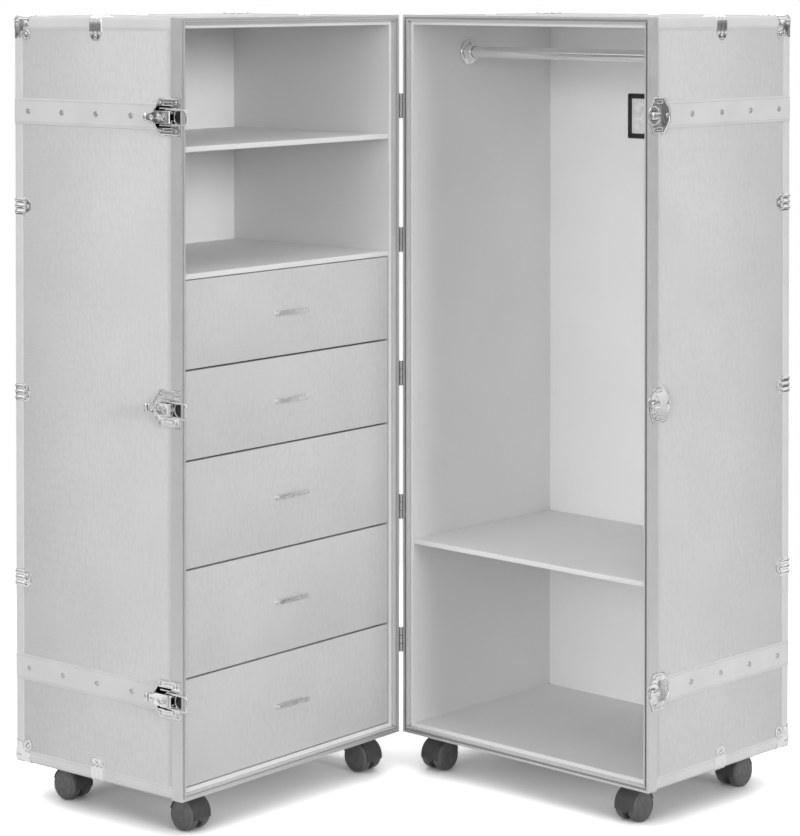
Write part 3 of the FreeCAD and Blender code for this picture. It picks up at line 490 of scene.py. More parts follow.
def around_case(height):
    """Frames round the case at a height, from one flange over the back to the other: x up, y outward."""
    stations = []

    def add(w, d, outward):
        stations.append(axes((w, d, height), UP, outward))

    r = EDGE_ROUND
    for d in (FLANGE, DEPTH - r):
        add(0, d, -ACROSS)
    for x, y in arc(0, 0, 1, 180, 90, 6)[1:]:
        add(r + r * x, DEPTH - r + r * y, Vector((x, y, 0)))
    for x, y in arc(0, 0, 1, 90, 0, 6):
        add(WIDTH - r + r * x, DEPTH - r + r * y, Vector((x, y, 0)))
    add(WIDTH, FLANGE, ACROSS)
    return stations


def strap_section():
    """Half-round edges, a crease inside each edge and a flat middle."""
    half = STRAP_WIDTH / 2
    top = [(-half, -0.3), (-half, 1.3), (-half + 0.6, 1.85), (-half + 3.0, 2.0), (-half + 3.5, 1.5),
           (-half + 4.0, 2.0)]
    return top + [(-x, y) for x, y in reversed(top)]


def binding_section():
    """An angle of leather over an edge, with a crease near each border; the case's corner is the origin."""
    r = EDGE_ROUND
    face = [(BINDING, SUNK), (BINDING, -0.5), (BINDING - 0.6, -0.9), (BINDING - 2.6, -1.0),
            (BINDING - 3.1, -0.5), (BINDING - 3.6, -1.0)]
    bend = arc(r, r, r + 1.0, 270, 180, 5)
    other = [(y, x) for x, y in reversed(face)]
    inside = arc(r, r, r - SUNK, 180, 270, 5)
    return face + bend + other + inside


def case_edges():
    """Each bound edge as (start, end, first face's direction, second face's direction)."""
    edges = []
    for w, inward in ((0, ACROSS), (WIDTH, -ACROSS)):
        edges.append(((w, DEPTH, 0), (w, DEPTH, HEIGHT), inward, -BACK))
        for z, up in ((0, UP), (HEIGHT, -UP)):
            edges.append(((w, FLANGE, z), (w, DEPTH, z), inward, up))
    for z, up in ((0, UP), (HEIGHT, -UP)):
        edges.append(((0, DEPTH, z), (WIDTH, DEPTH, z), -BACK, up))
    return edges


def trim(half):
    """The straps and the edge binding."""
    form = Form()
    for height in STRAP_HEIGHTS:
        form.sweep(strap_section(), around_case(height))
    for start, end, first, second in case_edges():
        form.place = Matrix.Identity(4)
        form.sweep(binding_section(), [axes(start, first, second), axes(end, first, second)])
    form.piece(f"{half}_trim_leather", half, "trim_leather", hides=[f"{half}_trim"])


RIVET = [(5.0, 0.0), (5.0, 0.5), (4.5, 1.0), (3.7, 1.0), (3.2, 0.1), (2.4, 0.3), (1.8, 0.8), (0.9, 1.1),
         (0.0, 1.2)]
SIDE_RIVETS = spread(111.0, 351.0, 4)
REAR_RIVETS = spread(71.0, WIDTH - 71.0, 5)


def rivets(half):
    """Dome rivets in a ring: four on each side of each strap, and five over its back."""
    form = Form()
    for height in STRAP_HEIGHTS:
        for d in SIDE_RIVETS:
            for w, outward in ((0, -ACROSS), (WIDTH, ACROSS)):
                form.place = axes((w + outward.x * STRAP_FACE, d, height), UP, outward.cross(UP))
                form.turned(RIVET, 14)
        for w in REAR_RIVETS:
            form.place = axes((w, DEPTH + STRAP_FACE, height), UP, BACK.cross(UP))
            form.turned(RIVET, 14)
    form.piece(f"{half}_rivets", half, "steel", material="rivet_metal")


# --- edge hardware ---
CLAMP_REACH = 38.0                        # from the case's edge to a clamp's tip
CLAMP_SHOULDER = 27.0                     # from the edge to where it tapers
CLAMP_HALF = 15.0
CLAMP_TIP = 7.0
CLAMP_METAL = 0.9
CLAMP_SCREW = 3.6
RIBS = 3
RIB_HEIGHT = 1.9
RIB_COLUMNS = 26
REAR_CLAMPS = spread(309.0, 932.0, 3)


def clamp(form, corner, along, first, second):
    """A clamp bent over an edge: three round ribs across it and a tapered, screwed tip on each face."""
    r = EDGE_ROUND
    bend = r * math.pi / 2
    reach = CLAMP_REACH - r
    shoulder = CLAMP_SHOULDER - r

    def over(s):
        """Point and outward direction at a run s along the clamp, 0 in the middle of the bend."""
        if abs(s) <= bend / 2:
            a = math.radians(225) + s / bend * math.pi / 2
            out = first * math.cos(a) + second * math.sin(a)
            return corner + (first + second) * r + out * r, out
        run = abs(s) - bend / 2
        if s > 0:
            return corner + first * (r + run), -second
        return corner + second * (r + run), -first

    part = bmesh.new()
    full = bend / 2 + reach
    taper = bend / 2 + shoulder
    stations = [0.0]
    for s in (bend / 6, bend / 3, bend / 2, bend / 2 + 7, bend / 2 + 14, taper - 5, taper - 2.5, taper - 0.8,
              taper + 0.4, taper + 4, full - 4, full - 1.2, full - 0.3, full):
        stations += [s, -s]
    stations.sort()
    grid = []
    for s in stations:
        base, out = over(s)
        run = abs(s) - bend / 2
        half = CLAMP_HALF
        if run > shoulder:
            half = CLAMP_HALF + (CLAMP_TIP - CLAMP_HALF) * (run - shoulder) / (reach - shoulder)
        ending = full - abs(s)
        rim = min(1.0, 0.25 + ending / 1.2)  # the metal thins at its tip
        rib = max(0.0, min(1.0, (shoulder - run) / 4.5)) if run > 0 else 1.0
        rib = math.sin(rib * math.pi / 2)  # the ribs run out before the shoulder
        row = []
        for index in range(RIB_COLUMNS + 1):
            x = -1 + 2 * index / RIB_COLUMNS
            edge = min(1.0, 0.2 + (1 - abs(x)) * 9)  # and it thins at its sides
            wave = 0.5 - 0.5 * math.cos((x + 1) / 2 * RIBS * 2 * math.pi)
            lift = CLAMP_METAL * rim * edge + rib * RIB_HEIGHT * wave ** 0.6
            row.append(part.verts.new(base + along * x * half + out * lift))
        low = [part.verts.new(base + along * x * half - out * SUNK) for x in (-1, 1)]
        grid.append([low[0]] + row + [low[1]])
    for row, after in zip(grid, grid[1:]):
        for index in range(len(row) - 1):
            part.faces.new((row[index], row[index + 1], after[index + 1], after[index]))
    for row in (grid[0], grid[-1]):
        part.faces.new(row)
    bmesh.ops.recalc_face_normals(part, faces=part.faces)
    form.place = Matrix.Identity(4)
    form.join(part)
    for direction, outward in ((first, -second), (second, -first)):
        seat = corner + direction * (CLAMP_SHOULDER + 4.0) + outward * 0.8
        form.place = axes(seat, along, outward.cross(along))
        form.screw(0, 0, 0, CLAMP_SCREW, 30)


def clamps(form):
    for w, inward in ((0, ACROSS), (WIDTH, -ACROSS)):
        for z, up in ((0, UP), (HEIGHT, -UP)):
            clamp(form, Vector((w, DEPTH / 2, z)), BACK, inward, up)
        for z in REAR_CLAMPS:
            clamp(form, Vector((w, DEPTH, z)), UP, inward, -BACK)
    for z, up in ((0, UP), (HEIGHT, -UP)):
        clamp(form, Vector((WIDTH / 2, DEPTH, z)), ACROSS, -BACK, up)


CORNER_ARM = 36.0                         # from the corner to the end of a leaf's arm
ARM_WIDTH = 17.0
ARM_ROUND = 3.0
LOBE_PLACE = 29.0                         # from each edge to the middle of a leaf's lobe
LOBE = 9.5
LOBE_RING = [(8.0, 0.0), (7.6, 0.7), (6.8, 0.9), (5.6, 0.5), (5.0, 0.1), (0.0, 0.1)]
LOBE_SCREW = 4.2
CORNER_PLATE = 1.8
BALL = 12.0
BALL_PLACE = 8.6                          # from each face of the case to the ball's middle


def leaf_outline():
    """One face of a corner: an arm along each edge and a round lobe between them."""
    start = EDGE_ROUND
    arm = [(start, start), (CORNER_ARM - ARM_ROUND, start)]
    arm += arc(CORNER_ARM - ARM_ROUND, ARM_WIDTH - ARM_ROUND, ARM_ROUND, 0, 90, 4)
    neck = [(25.0, ARM_WIDTH + 0.3), (22.8, ARM_WIDTH + 2.2)]
    lobe = arc(LOBE_PLACE, LOBE_PLACE, LOBE, -115, 45, 14)
    half = arm + neck + lobe
    return half + [(y, x) for x, y in reversed(half[1:-1])]


def ball_corner(form, corner, directions):
    """A cap on one corner: a leaf on each face, rounded edges between them and a ball at the tip."""
    r = EDGE_ROUND
    rim = CORNER_PLATE - 0.05
    for index in range(3):
        first, second, inward = directions[index:] + directions[:index]
        form.place = axes(corner, first, second)
        side = 1 if first.cross(second).dot(inward) > 0 else -1
        form.place = form.place @ Matrix.Diagonal((1, 1, -side, 1))
        form.prism(leaf_outline(), -SUNK, CORNER_PLATE, 0.9)
        form.place = form.place @ Matrix.Translation((LOBE_PLACE, LOBE_PLACE, CORNER_PLATE - 0.1))
        form.turned(LOBE_RING, 28)
        form.screw(0, 0, 0.1, LOBE_SCREW, 20 + 40 * index)
        section = [(r + 2, -rim)] + arc(r, r, r + rim, 270, 180, 8) + [(-rim, r + 2)]
        section += [(SUNK, r + 2)] + arc(r, r, r - SUNK, 180, 270, 4) + [(r + 2, SUNK)]
        form.place = Matrix.Identity(4)
        form.sweep(section, [axes(corner + inward * run, first, second) for run in (2.0, CORNER_ARM)])
    form.place = Matrix.Translation(corner + sum(directions, Vector()) * BALL_PLACE)
    turns = [math.radians(angle) for angle in range(0, 181, 12)]
    form.turned([(BALL * math.sin(turn), -BALL * math.cos(turn)) for turn in turns], 32)


def corners(form):
    for w, inward in ((0, ACROSS), (WIDTH, -ACROSS)):
        for z, up in ((0, UP), (HEIGHT, -UP)):
            ball_corner(form, Vector((w, DEPTH, z)), (inward, -BACK, up))


def hardware(half):
    form = Form()
    clamps(form)
    corners(form)
    form.piece(f"{half}_edge_hardware", half, "chrome", hides=[f"{half}_hardware"], sharp=40)


# --- hinges ---
HINGE_HEIGHTS = spread(LEVER_HEIGHTS[0], LEVER_HEIGHTS[2], 5)
HINGE = 43.5
LEAF = 20.0
LEAF_TOP = 1.5
LEAF_SCREW = 2.4


def hinge_leaves(half, knuckles):
    """Leaves on the frame's flange with three screws each; knuckles are given as shares of the height."""
    form = Form()
    pin_d = -CLOSING_GAP / 2
    clear = pin_d + KNUCKLE + 0.3
    for height in HINGE_HEIGHTS:
        low = height - HINGE / 2
        form.place = axes((-FRAME_WALL, 0, low), BACK, UP) @ Matrix.Diagonal((1, 1, -1, 1))
        form.prism(panel(clear, LEAF, 0.0, HINGE, 2.0), 0.0, LEAF_TOP, 0.4)
        for share in (0.16, 0.5, 0.84):
            form.screw(clear + (LEAF - clear) * 0.55, HINGE * share, LEAF_TOP - 0.3, LEAF_SCREW, 60 * share)
        for first, last in knuckles:
            z0, z1 = HINGE * first + 0.2, HINGE * last - 0.2
            form.prism([(pin_d, z0), (clear + 2, z0), (clear + 2, z1), (pin_d, z1)], 0.0, LEAF_TOP, 0.2)
            outer = form.place
            form.place = Matrix.Translation((-PIN_OUT, pin_d, low))
            form.turned([(0, z0), (KNUCKLE - 0.4, z0), (KNUCKLE, z0 + 0.4), (KNUCKLE, z1 - 0.4),
                         (KNUCKLE - 0.4, z1), (0, z1)], 20)
            form.place = outer
    form.piece(f"{half}_hinge_leaves", half, "steel", hides=[f"hinge_leaves_{half}"])


# --- draw latches: x runs back from the closing plane, y up, z out from the leather ---
PLATE_FRONT = 0.6                         # the plates' front edge, from the closing plane
PLATE_HALF = 30.0
PLATE_TOP = 3.2
PLATE_LEVELS = [(0, 0), (0, PLATE_TOP - 1.1), (0.3, PLATE_TOP - 0.35), (1.0, PLATE_TOP), (2.3, PLATE_TOP),
                (3.0, PLATE_TOP - 0.4), (3.4, PLATE_TOP - 1.2)]
FIELD = PLATE_TOP - 1.2                   # the pressed plates' floor inside their raised rims
PLATE_SCREW = 3.0
LATCH_LIFT = math.radians(6)              # how far the levers stand open
PIVOT_X, PIVOT_Z = 18.0, 9.0              # a lever's pin
LOOP_X, LOOP_Z = 27.0, 7.0                # its loop's pivot in it
BAR_X, BAR_Z = -20.0, 5.0                 # the loop's bar over the hook
NOSE = 5.0
EAR = 2.7
LEVER_HALF = 10.0
LEVER_END_X, LEVER_END_Z = 68.0, 7.0
LEVER_WALL = 1.6
CHEEK_END = 46.0
RING_X = 27.0                             # the lever's ringed screw
SIDE_ON = axes((0, 0, 0), (1, 0, 0), (0, 0, 1))  # x stays, y runs outward, z down


def bead(form, x0, x1, y, half):
    """A long raised ring with a lower floor."""
    levels = [(0, -0.1), (0.3, 0.7), (0.9, 0.9), (1.5, 0.7), (2.0, 0.05)]
    form.layers(panel(x0, x1, y - half, y + half, half - 0.1), [(amount, FIELD + z) for amount, z in levels])


def latch_plates():
    """The plates under the levers: a round notch with a black disc in it as painted shade of a hollow, beads,
    ribs, screws and two ears.
    """
    form = Form()
    dark = Form()
    outline = [(PLATE_FRONT, PLATE_HALF)] + arc(PLATE_FRONT, 0, 11.5, 90, -90, 14)
    outline += [(PLATE_FRONT, -PLATE_HALF), (47, -PLATE_HALF), (61, -10), (61, 10), (47, PLATE_HALF)]
    for height in LEVER_HEIGHTS:
        outer = axes((WIDTH, 0, height), BACK, UP)
        form.place = outer
        form.layers(outline, PLATE_LEVELS)
        for side in (-1, 1):
            bead(form, 15, 40, side * 21.0, 3.6)
            form.prism(panel(8, 46, side * 13.5 - 1.2, side * 13.5 + 1.2, 1.1), FIELD - 0.1, FIELD + 1.4, 0.6)
            for x, turn in ((9.5, 20), (45.5, 75)):
                form.screw(x, side * 22.5, FIELD, PLATE_SCREW, turn * side)
            form.place = outer @ SIDE_ON
            ear = arc(PIVOT_X, PIVOT_Z, EAR, 0, 180, 8) + [(PIVOT_X - EAR, FIELD), (PIVOT_X + EAR, FIELD)]
            form.prism(ear, side * 6.5 - 1.2, side * 6.5 + 1.2, 0.3, True)
            form.place = outer
        dark.place = outer
        # a black half disc in the notch: painted shade standing in for a dark hollow
        dark.prism([(1.2, 10.5)] + arc(1.2, 0, 10.5, 80, -80, 12) + [(1.2, -10.5)], 1.0, 1.7)
    form.piece("latch_plates_dressed", "left", "chrome", hides=["latch_plates"], sharp=38)
    dark.piece("latch_plate_shade_discs", "left", "chrome", material="card_frame")


def latch_frames(height):
    """The frames of a lever and its loop as the trunk stands, the lever lifted a little."""
    def turn(point, angle):
        return Matrix.Translation(point) @ Matrix.Rotation(angle, 4, "Z") @ Matrix.Translation(-point)

    shut = axes((WIDTH, 0, height), BACK, UP)
    pivot = Vector((WIDTH + PIVOT_Z, PIVOT_X, height))
    loop_pivot = Vector((WIDTH + LOOP_Z, LOOP_X, height))
    lift = turn(pivot, -LATCH_LIFT)
    tilt = math.asin((LOOP_Z - BAR_Z) / math.hypot(LOOP_X - BAR_X, LOOP_Z - BAR_Z))
    return lift @ shut, turn(lift @ loop_pivot, 2 * LATCH_LIFT) @ lift @ turn(loop_pivot, -tilt) @ shut


def lever_ring(x, z, slope, half, groove):
    """A cross-section of the lever's wall at a point of its outer line; slope is that line's angle."""
    out = Vector((-math.sin(slope), 0, math.cos(slope)))
    shape = [(-half, -0.6), (-half + 0.6, 0.0), (-2.2, 0.0), (-1.3, -groove), (1.3, -groove), (2.2, 0.0),
             (half - 0.6, 0.0), (half, -0.6), (half, -LEVER_WALL), (-half, -LEVER_WALL)]
    return [Vector((x, y, z)) + out * lift for y, lift in shape]


def lever(number, height):
    """A folded lever: a curved nose, cheeks, a grooved and tapered tail, a ringed screw and a rolled end."""
    form = Form()
    outer = latch_frames(height)[0]
    form.place = outer
    rings = []
    for degrees in (138, 125, 112, 100):  # further round, it would meet the ears as it lifts
        turn = math.radians(degrees)
        rings.append(lever_ring(PIVOT_X + NOSE * math.cos(turn), PIVOT_Z + NOSE * math.sin(turn),
                                turn - math.pi / 2, LEVER_HALF, 0.0))
    top = PIVOT_Z + NOSE
    slope = math.atan2(LEVER_END_Z - top, LEVER_END_X - PIVOT_X)
    for x, half, groove in ((18, 10, 0), (36, 10, 0), (37.5, 10, 0.9), (46, 10, 0.9), (50, 8.6, 0.9),
                            (56, 6.4, 0.9), (57.5, 6.0, 0.0), (62, 5.6, 0.0), (68, 5.6, 0.0)):
        rings.append(lever_ring(x, top + (x - PIVOT_X) * math.tan(slope), slope, half, groove))
    form.loft(rings)
    fall = (top - LEVER_END_Z) / (LEVER_END_X - PIVOT_X)
    cheek_top = top - fall * (CHEEK_END - PIVOT_X)
    cheek = arc(PIVOT_X, PIVOT_Z, NOSE, 90, 270, 12) + arc(LOOP_X, LOOP_Z, 2.4, 240, 300, 4)
    cheek += [(CHEEK_END, cheek_top - 3), (CHEEK_END, cheek_top - 0.3)]
    form.place = outer @ SIDE_ON
    for low in (-LEVER_HALF, LEVER_HALF - 2):
        form.prism(cheek, low, low + 2, 0.3, True)
    seat = (RING_X, 0, top - fall * (RING_X - PIVOT_X) - 0.2)
    form.place = outer @ axes(seat, (math.cos(slope), 0, math.sin(slope)), (0, 1, 0))
    form.turned([(6.0, 0), (5.8, 0.7), (5.0, 1.1), (4.2, 0.7), (3.8, 0.2), (0, 0.2)], 24)
    form.screw(0, 0, 0.2, PLATE_SCREW, 35)
    form.place = outer @ axes((LEVER_END_X, 0, 7.4), (1, 0, 0), (0, 0, 1))
    form.turned([(0, -7), (2.4, -7), (3.3, -6.4), (3.6, -5.4), (3.6, 5.4), (3.3, 6.4), (2.4, 7), (0, 7)], 20)
    name = f"latch_lever_{number}"
    form.piece(f"{name}_dressed", "left", "chrome", name, [name], 38)


def loop(number, height):
    """A bent bar with its ends turned into the lever's cheeks."""
    form = Form()
    form.place = latch_frames(height)[1]
    half = LEVER_HALF + 1.9
    inner, bend = 2.5, 4.4  # the bends at the cheeks and at the bar
    bar = BAR_X - 0.4  # clear of the hook when the trunk is shut
    upper = [(LOOP_X, 8.5)] + arc(LOOP_X - inner, half - inner, inner, 0, 90, 5)
    upper += arc(bar + bend, half - bend, bend, 90, 180, 6)
    path = upper + [(x, -y) for x, y in reversed(upper)]
    widths = [2.1 if x < BAR_X + bend / 2 else 1.6 for x, y in path]
    form.ribbon([(x, y, LOOP_Z) for x, y in path], widths, 1.45)
    name = f"latch_loop_{number}"
    form.piece(f"{name}_dressed", "left", "chrome", name, [name])


def latch_catches():
    """The plates with hooks on the other half: beads, a raised ring and three screws on each."""
    form = Form()
    outline = [(PLATE_FRONT, -10), (9, -PLATE_HALF), (38, -PLATE_HALF), (53, -10), (53, 10),
               (38, PLATE_HALF), (9, PLATE_HALF), (PLATE_FRONT, 10)]
    hook = [(2, FIELD)] + arc(6, 4.2, 4, 180, 90, 6) + [(20, 8.2), (20, 6.8), (17.1, 6.8), (17.1, FIELD)]
    for height in LEVER_HEIGHTS:
        outer = axes((WIDTH, 0, height), BACK, UP)
        form.place = outer
        form.layers(outline, PLATE_LEVELS)
        for side in (-1, 1):
            bead(form, 15.5, 34, side * 22.0, 3.4)
            form.screw(10.5, side * 22.0, FIELD, PLATE_SCREW, 50 * side)
        form.screw(45.5, 0, FIELD, 3.2, 15)
        form.place = outer @ Matrix.Translation((11, 0, 0))
        form.turned([(16.0, FIELD - 0.1), (15.6, FIELD + 0.7), (14.8, FIELD + 0.9), (13.9, FIELD + 0.5),
                     (13.5, FIELD - 0.1)], 36, hollow=True)
        form.place = outer @ SIDE_ON
        form.prism(hook, -6, 6, 1.2, True)
        form.place = outer
    form.piece("latch_catches_dressed", "right", "chrome", hides=["latch_catches"], sharp=38)


# --- drawers and shelves ---
BOARD = 9.0


def drawer(number):
    """The front with rounded edges, and its bar handle on two posts."""
    body = f"drawer_{number}"
    form = Form()
    low, high = half_box(f"{body}_front", "left")
    form.block(low, high, 0.6, 2)
    form.piece(f"{body}_front_dressed", "left", "drawer_front", body, [f"{body}_front"])
    low, high = half_box(f"{body}_handle", "left")
    form = Form()
    centre = (low + high) / 2
    form.place = axes((centre.x, high.y, centre.z), ACROSS, UP)
    length, half, proud = (high.x - low.x) / 2, (high.z - low.z) / 2, high.y - low.y
    form.prism(panel(-length, length, -half, half, half - 0.05, 8), proud - 3.0, proud, 1.0, True)
    post = [(0, 0), (half, 0), (half, 0.6), (half - 0.9, 1.4), (half - 0.9, proud - 3.4),
            (half - 0.5, proud - 2.9), (0, proud - 2.9)]
    for x in (half - length, length - half):
        form.place = axes((centre.x + x, high.y, centre.z), ACROSS, UP)
        form.turned(post, 24)
    form.piece(f"{body}_handle_dressed", "left", "handle_metal", body, [f"{body}_handle"])


def shelves(half, node):
    """The lowest and the highest board of a node, which are one and the same in the hanging half."""
    form = Form()
    low, high = half_box(node, half)
    for z in {round(low.z, 3), round(high.z - BOARD, 3)}:
        form.block((low.x, low.y, z), (high.x, high.y, z + BOARD), 1.3, 3)
    form.piece(f"{node}_dressed", half, "lining", hides=[node])


# --- hanging half's fittings ---
ROD = 10.0
SOCKET = [(0, 0), (22, 0), (22, 1.6), (21.2, 2.6), (20, 3), (15.6, 3), (14.6, 3.6), (14, 5), (14, 13.6),
          (13.4, 14.6), (12.4, 15), (10.1, 15), (10.1, 12)]


def rod():
    """The rod in two flanged sockets, each with three screws."""
    form = Form()
    low, high = half_box("hanging_rod", "right")
    centre = (low + high) / 2
    form.place = axes((0, centre.y, centre.z), BACK, UP)
    form.turned([(0, low.x + 4), (ROD, low.x + 4), (ROD, high.x - 4), (0, high.x - 4)], 40)
    for foot, out in ((low.x, 1), (high.x, -1)):
        form.place = axes((foot, centre.y, centre.z), BACK * out, UP)
        form.turned(SOCKET, 40)
        for turn in (90, 210, 330):
            angle = math.radians(turn)
            form.screw(18 * math.cos(angle), 18 * math.sin(angle), 2.9, 2.2, turn + 20)
    form.piece("hanging_rod_dressed", "right", "chrome", hides=["hanging_rod"], sharp=38)


def card_holder():
    """A bevelled black border round a blank card."""
    low, high = half_box("card_holder", "right")
    centre = (low + high) / 2
    x, y = (high.x - low.x) / 2, (high.z - low.z) / 2
    border = 9.0
    place = axes((centre.x, high.y, centre.z), ACROSS, UP)
    form = Form()
    form.place = place
    levels = [(0, 0), (0, 1.7), (0.3, 2.2), (0.9, 2.5), (border - 1.4, 2.5), (border - 0.5, 2.0),
              (border, 1.0)]
    form.layers(panel(-x, x, -y, y, 3), levels)
    form.piece("card_border", "right", "card_frame", hides=["card_holder"])
    form = Form()
    form.place = place
    form.prism(panel(border - x, x - border, border - y, y - border, 0.4), 0.9, 1.3, 0.1)
    form.piece("blank_card", "right", "card_frame", material="card")


# --- casters: w across, the wheels' axle along it ---
TRAIL = 15.0                              # from the swivel's axis to the axle
WEB = 5.0
WHEEL_GAP = 1.0
HOOD = 29.7
HOOD_BAND = [(26.6, -17.5), (26.6, 17.5), (27.0, 19.0), (27.6, 19.2), (28.2, 18.4), (28.7, 15.5), (29.0, 8.0),
             (29.0, -8.0), (28.7, -15.5), (28.2, -18.4), (27.6, -19.2), (27.0, -19.0)]
STEM = 9.4
STEM_TOP = -2.8                           # just under the caster's plate
STEM_LENGTH = 18.0
AXLE = 3.0
WHEEL = [(0, 0), (23.5, 0), (25.2, 0.6), (26, 2.2), (26, 9.5), (25.7, 11.8), (24.9, 13.8), (23.7, 15.3),
         (22.4, 16.1), (21.6, 16.2), (21.1, 15.6), (20.6, 15.7), (20.0, 16.6), (16, 17.3), (10, 17.8),
         (8.7, 17.8), (8.3, 17.4), (7.9, 17.4), (7.5, 17.9), (4, 18.0), (0, 18.0)]


def caster(number, half):
    """A hood with a web, axle boss and stem, and two wheels on their axle."""
    wheels_low, wheels_high = half_box(f"caster_{number}_wheels", half)
    centre = (wheels_low + wheels_high) / 2
    across = axes(centre, BACK, UP)  # x back, y up, z across
    form = Form()
    form.place = across @ Matrix.Rotation(math.radians(14), 4, "Z")
    form.turned(HOOD_BAND, 28, 176.0, hollow=True)
    form.place = across
    form.prism(arc(0, 0, HOOD - 2, 14, 200, 24) + [(-9, -6), (0, -8), (9, -2)], -WEB, WEB, 0.8, True)
    for side in (-1, 1):
        form.place = across @ Matrix.Diagonal((1, 1, side, 1))
        form.turned([(7.5, WEB - 0.2), (7.2, WEB + 0.7), (3.2, WEB + 0.7), (3.2, WEB - 0.2)], 24, hollow=True)
    form.place = Matrix.Translation((centre.x, centre.y + TRAIL, 0))
    foot = STEM_TOP - STEM_LENGTH
    form.turned([(0, foot), (STEM, foot), (STEM, STEM_TOP - 1.0), (8.6, STEM_TOP), (0, STEM_TOP)], 28)
    name = f"caster_{number}"
    form.piece(f"{name}_hood", half, "caster_plastic", f"{name}_swivel", [f"{name}_housing"])
    form = Form()
    form.place = across
    inner = WEB + WHEEL_GAP
    form.turned([(0, -inner), (AXLE, -inner), (AXLE, inner), (0, inner)], 20)
    for side in (-1, 1):
        form.place = across @ Matrix.Diagonal((1, 1, side, 1)) @ Matrix.Translation((0, 0, inner))
        form.turned(WHEEL, 48)
    form.piece(f"{name}_twin_wheels", half, "caster_wheel", f"{name}_wheel_pair", [f"{name}_wheels"], 38)


def soften_edges(node):
    """Small rounded edges on a CAD node that shows as it is."""
    bevel = frame["nodes"][node].modifiers.new("soft_edges", "BEVEL")
    bevel.width = 0.4 * MM
    bevel.segments = 2
    bevel.limit_method = "ANGLE"
    bevel.angle_limit = math.radians(40)


for side in ("left", "right"):
    cover(side)
    trim(side)
    rivets(side)
    hardware(side)
hinge_leaves("left", ((0, 1 / 3), (2 / 3, 1)))
hinge_leaves("right", ((1 / 3, 2 / 3),))
latch_plates()
for number, height in enumerate(LEVER_HEIGHTS, 1):
    lever(number, height)
    loop(number, height)
latch_catches()
for number in range(1, 6):
    drawer(number)
shelves("left", "left_shelves")
shelves("right", "right_shelf")
rod()
card_holder()
for number in range(1, 9):
    caster(number, "left" if number < 5 else "right")
for node in ("left_frame", "right_frame", "left_liner", "right_liner"):
    soften_edges(node)

# --- studio ---
IMAGE_WIDTH, IMAGE_HEIGHT = 800, 836
FOCAL_PIXELS = 2773.0
CENTRE_X, CENTRE_Y = 413.6, 34.1          # where the lens axis meets the image
CAMERA_PLACE = (3.060, -3.719, 1.372)
CAMERA_DOWN, CAMERA_ROUND = 1.091, 39.186
AMBIENT = 0.33
STUDIO_ZONES = ((0.45, 0.32), (0.53, 1.0))
HORIZON = 0.09                            # the reflected studio darkens below this height of direction
FLOOR_RADIUS = 9.0
FLOOR_GAIN = 2.7
FADE_START, FADE_END = 0.9, 1.7           # where the floor turns white, in metres from the origin

camera = bpy.data.objects.new("camera", bpy.data.cameras.new("camera"))
bpy.context.scene.collection.objects.link(camera)
bpy.context.scene.camera = camera
camera.location = CAMERA_PLACE
camera.rotation_euler = (math.radians(90 - CAMERA_DOWN), 0, math.radians(CAMERA_ROUND))
camera.data.sensor_fit = "HORIZONTAL"
camera.data.lens = FOCAL_PIXELS / IMAGE_WIDTH * camera.data.sensor_width
camera.data.shift_x = (IMAGE_WIDTH / 2 - CENTRE_X) / IMAGE_WIDTH
camera.data.shift_y = (CENTRE_Y - IMAGE_HEIGHT / 2) / IMAGE_WIDTH

view = bpy.context.scene.view_settings
view.view_transform = "Standard"


def far_light(name, direction, spread_degrees, strength, mirrored=True):
    """A wide soft source far away, that falls alike on every part; metal mirrors it or not."""
    light = bpy.data.lights.new(name, "SUN")
    light.angle = math.radians(spread_degrees)
    light.energy = strength
    lamp = bpy.data.objects.new(name, light)
    lamp.rotation_euler = Vector(direction).to_track_quat("Z", "Y").to_euler()
    lamp.visible_glossy = mirrored
    bpy.context.scene.collection.objects.link(lamp)


far_light("side", (0.97, -0.07, 0.2), 18, 1.37, False)
far_light("front", (-0.03, -0.98, 0.16), 30, 1.24, False)
far_light("key", (0.6, -0.72, 0.25), 40, 0.42)
far_light("top", (0.0, -0.1, 1.0), 60, 0.5)
far_light("back", (-0.65, 0.72, 0.3), 60, 1.0)


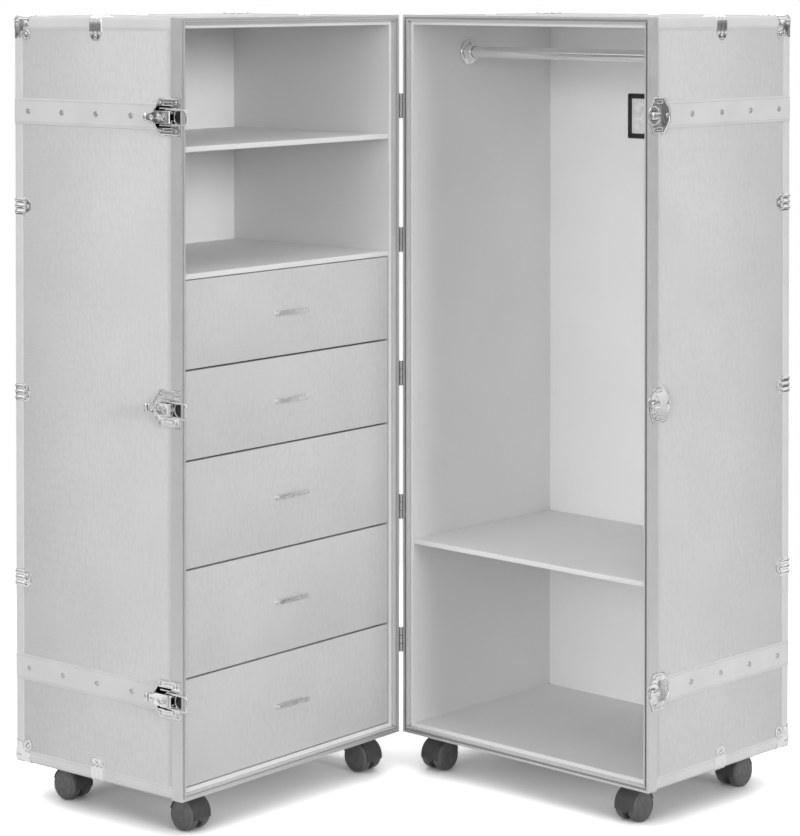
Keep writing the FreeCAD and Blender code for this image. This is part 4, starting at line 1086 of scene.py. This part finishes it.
def studio_world():
    """White to the camera, even light on the object, and for reflections a studio of dark and white zones."""
    world = bpy.data.worlds.new("studio")
    bpy.context.scene.world = world
    world.use_nodes = True
    n = Nodes(world.node_tree)
    direction = n.add("TexCoord").outputs["Generated"]
    patches = n.add("TexNoise", Vector=direction, Scale=4.5, Detail=1.0)
    zones = n.ramp(patches.outputs["Fac"], *STUDIO_ZONES)
    height = n.add("SeparateXYZ", Vector=direction).outputs["Z"]
    above = n.add("MapRange", Value=height, From_Min=0.0, From_Max=HORIZON, To_Min=0.3)
    mirrored = n.add("Background", Color=n.multiply(zones, above.outputs[0]), Strength=1.0)
    even = n.add("Background", Color=grey(1.0), Strength=AMBIENT)
    white = n.add("Background", Color=grey(1.0), Strength=1.0)
    path = n.add("LightPath")
    lit = n.mix_shaders(path.outputs["Is Glossy Ray"], even.outputs[0], mirrored.outputs[0])
    seen = n.mix_shaders(path.outputs["Is Camera Ray"], lit, white.outputs[0])
    n.feed(n.tree.nodes["World Output"].inputs["Surface"], seen)


def floor():
    """A pale disk that keeps the trunk's shadow, darkened for the camera with painted shade from occlusion
    near the trunk, and turns white further out; metal mirrors patches in it.
    """
    bm = bmesh.new()
    bmesh.ops.create_circle(bm, cap_ends=True, segments=64, radius=FLOOR_RADIUS)
    mesh = bpy.data.meshes.new("floor")
    bm.to_mesh(mesh)
    bm.free()
    ground = bpy.data.objects.new("floor", mesh)
    bpy.context.scene.collection.objects.link(ground)
    n = Surface("floor", Roughness=0.9, Specular_IOR_Level=0.0)
    path = n.add("LightPath")
    to_camera, to_metal = path.outputs["Is Camera Ray"], path.outputs["Is Glossy Ray"]
    # painted shadow: occlusion darkens the floor's colour for the camera under and beside the trunk
    contact_shade = n.add("AmbientOcclusion", Distance=0.2)
    bright = n.multiply(n.ramp(contact_shade.outputs["AO"], (0.1, 0.35), (0.85, 1.0)), grey(FLOOR_GAIN))
    plain = n.mix(to_metal, grey(0.5), grey(1.0))
    n.set("Base Color", n.mix(to_camera, plain, bright))
    patches = n.add("TexNoise", Vector=n.coordinates(), Scale=0.9, Detail=1.0)
    mirrored = n.ramp(patches.outputs["Fac"], (0.44, 0.12), (0.54, 0.95))
    white = n.add("Emission", Strength=n.mix(to_metal, grey(1.0), mirrored))
    distance = n.vector("LENGTH", n.coordinates())
    fade = n.add("MapRange", Value=distance.outputs["Value"], From_Min=FADE_START, From_Max=FADE_END)
    share = n.math("MULTIPLY", n.math("MAXIMUM", to_camera, to_metal), fade.outputs[0])
    mixed = n.mix_shaders(share, n.shader.outputs[0], white.outputs[0])
    n.feed(n.tree.nodes["Material Output"].inputs["Surface"], mixed)
    mesh.materials.append(n.material)


studio_world()
floor()
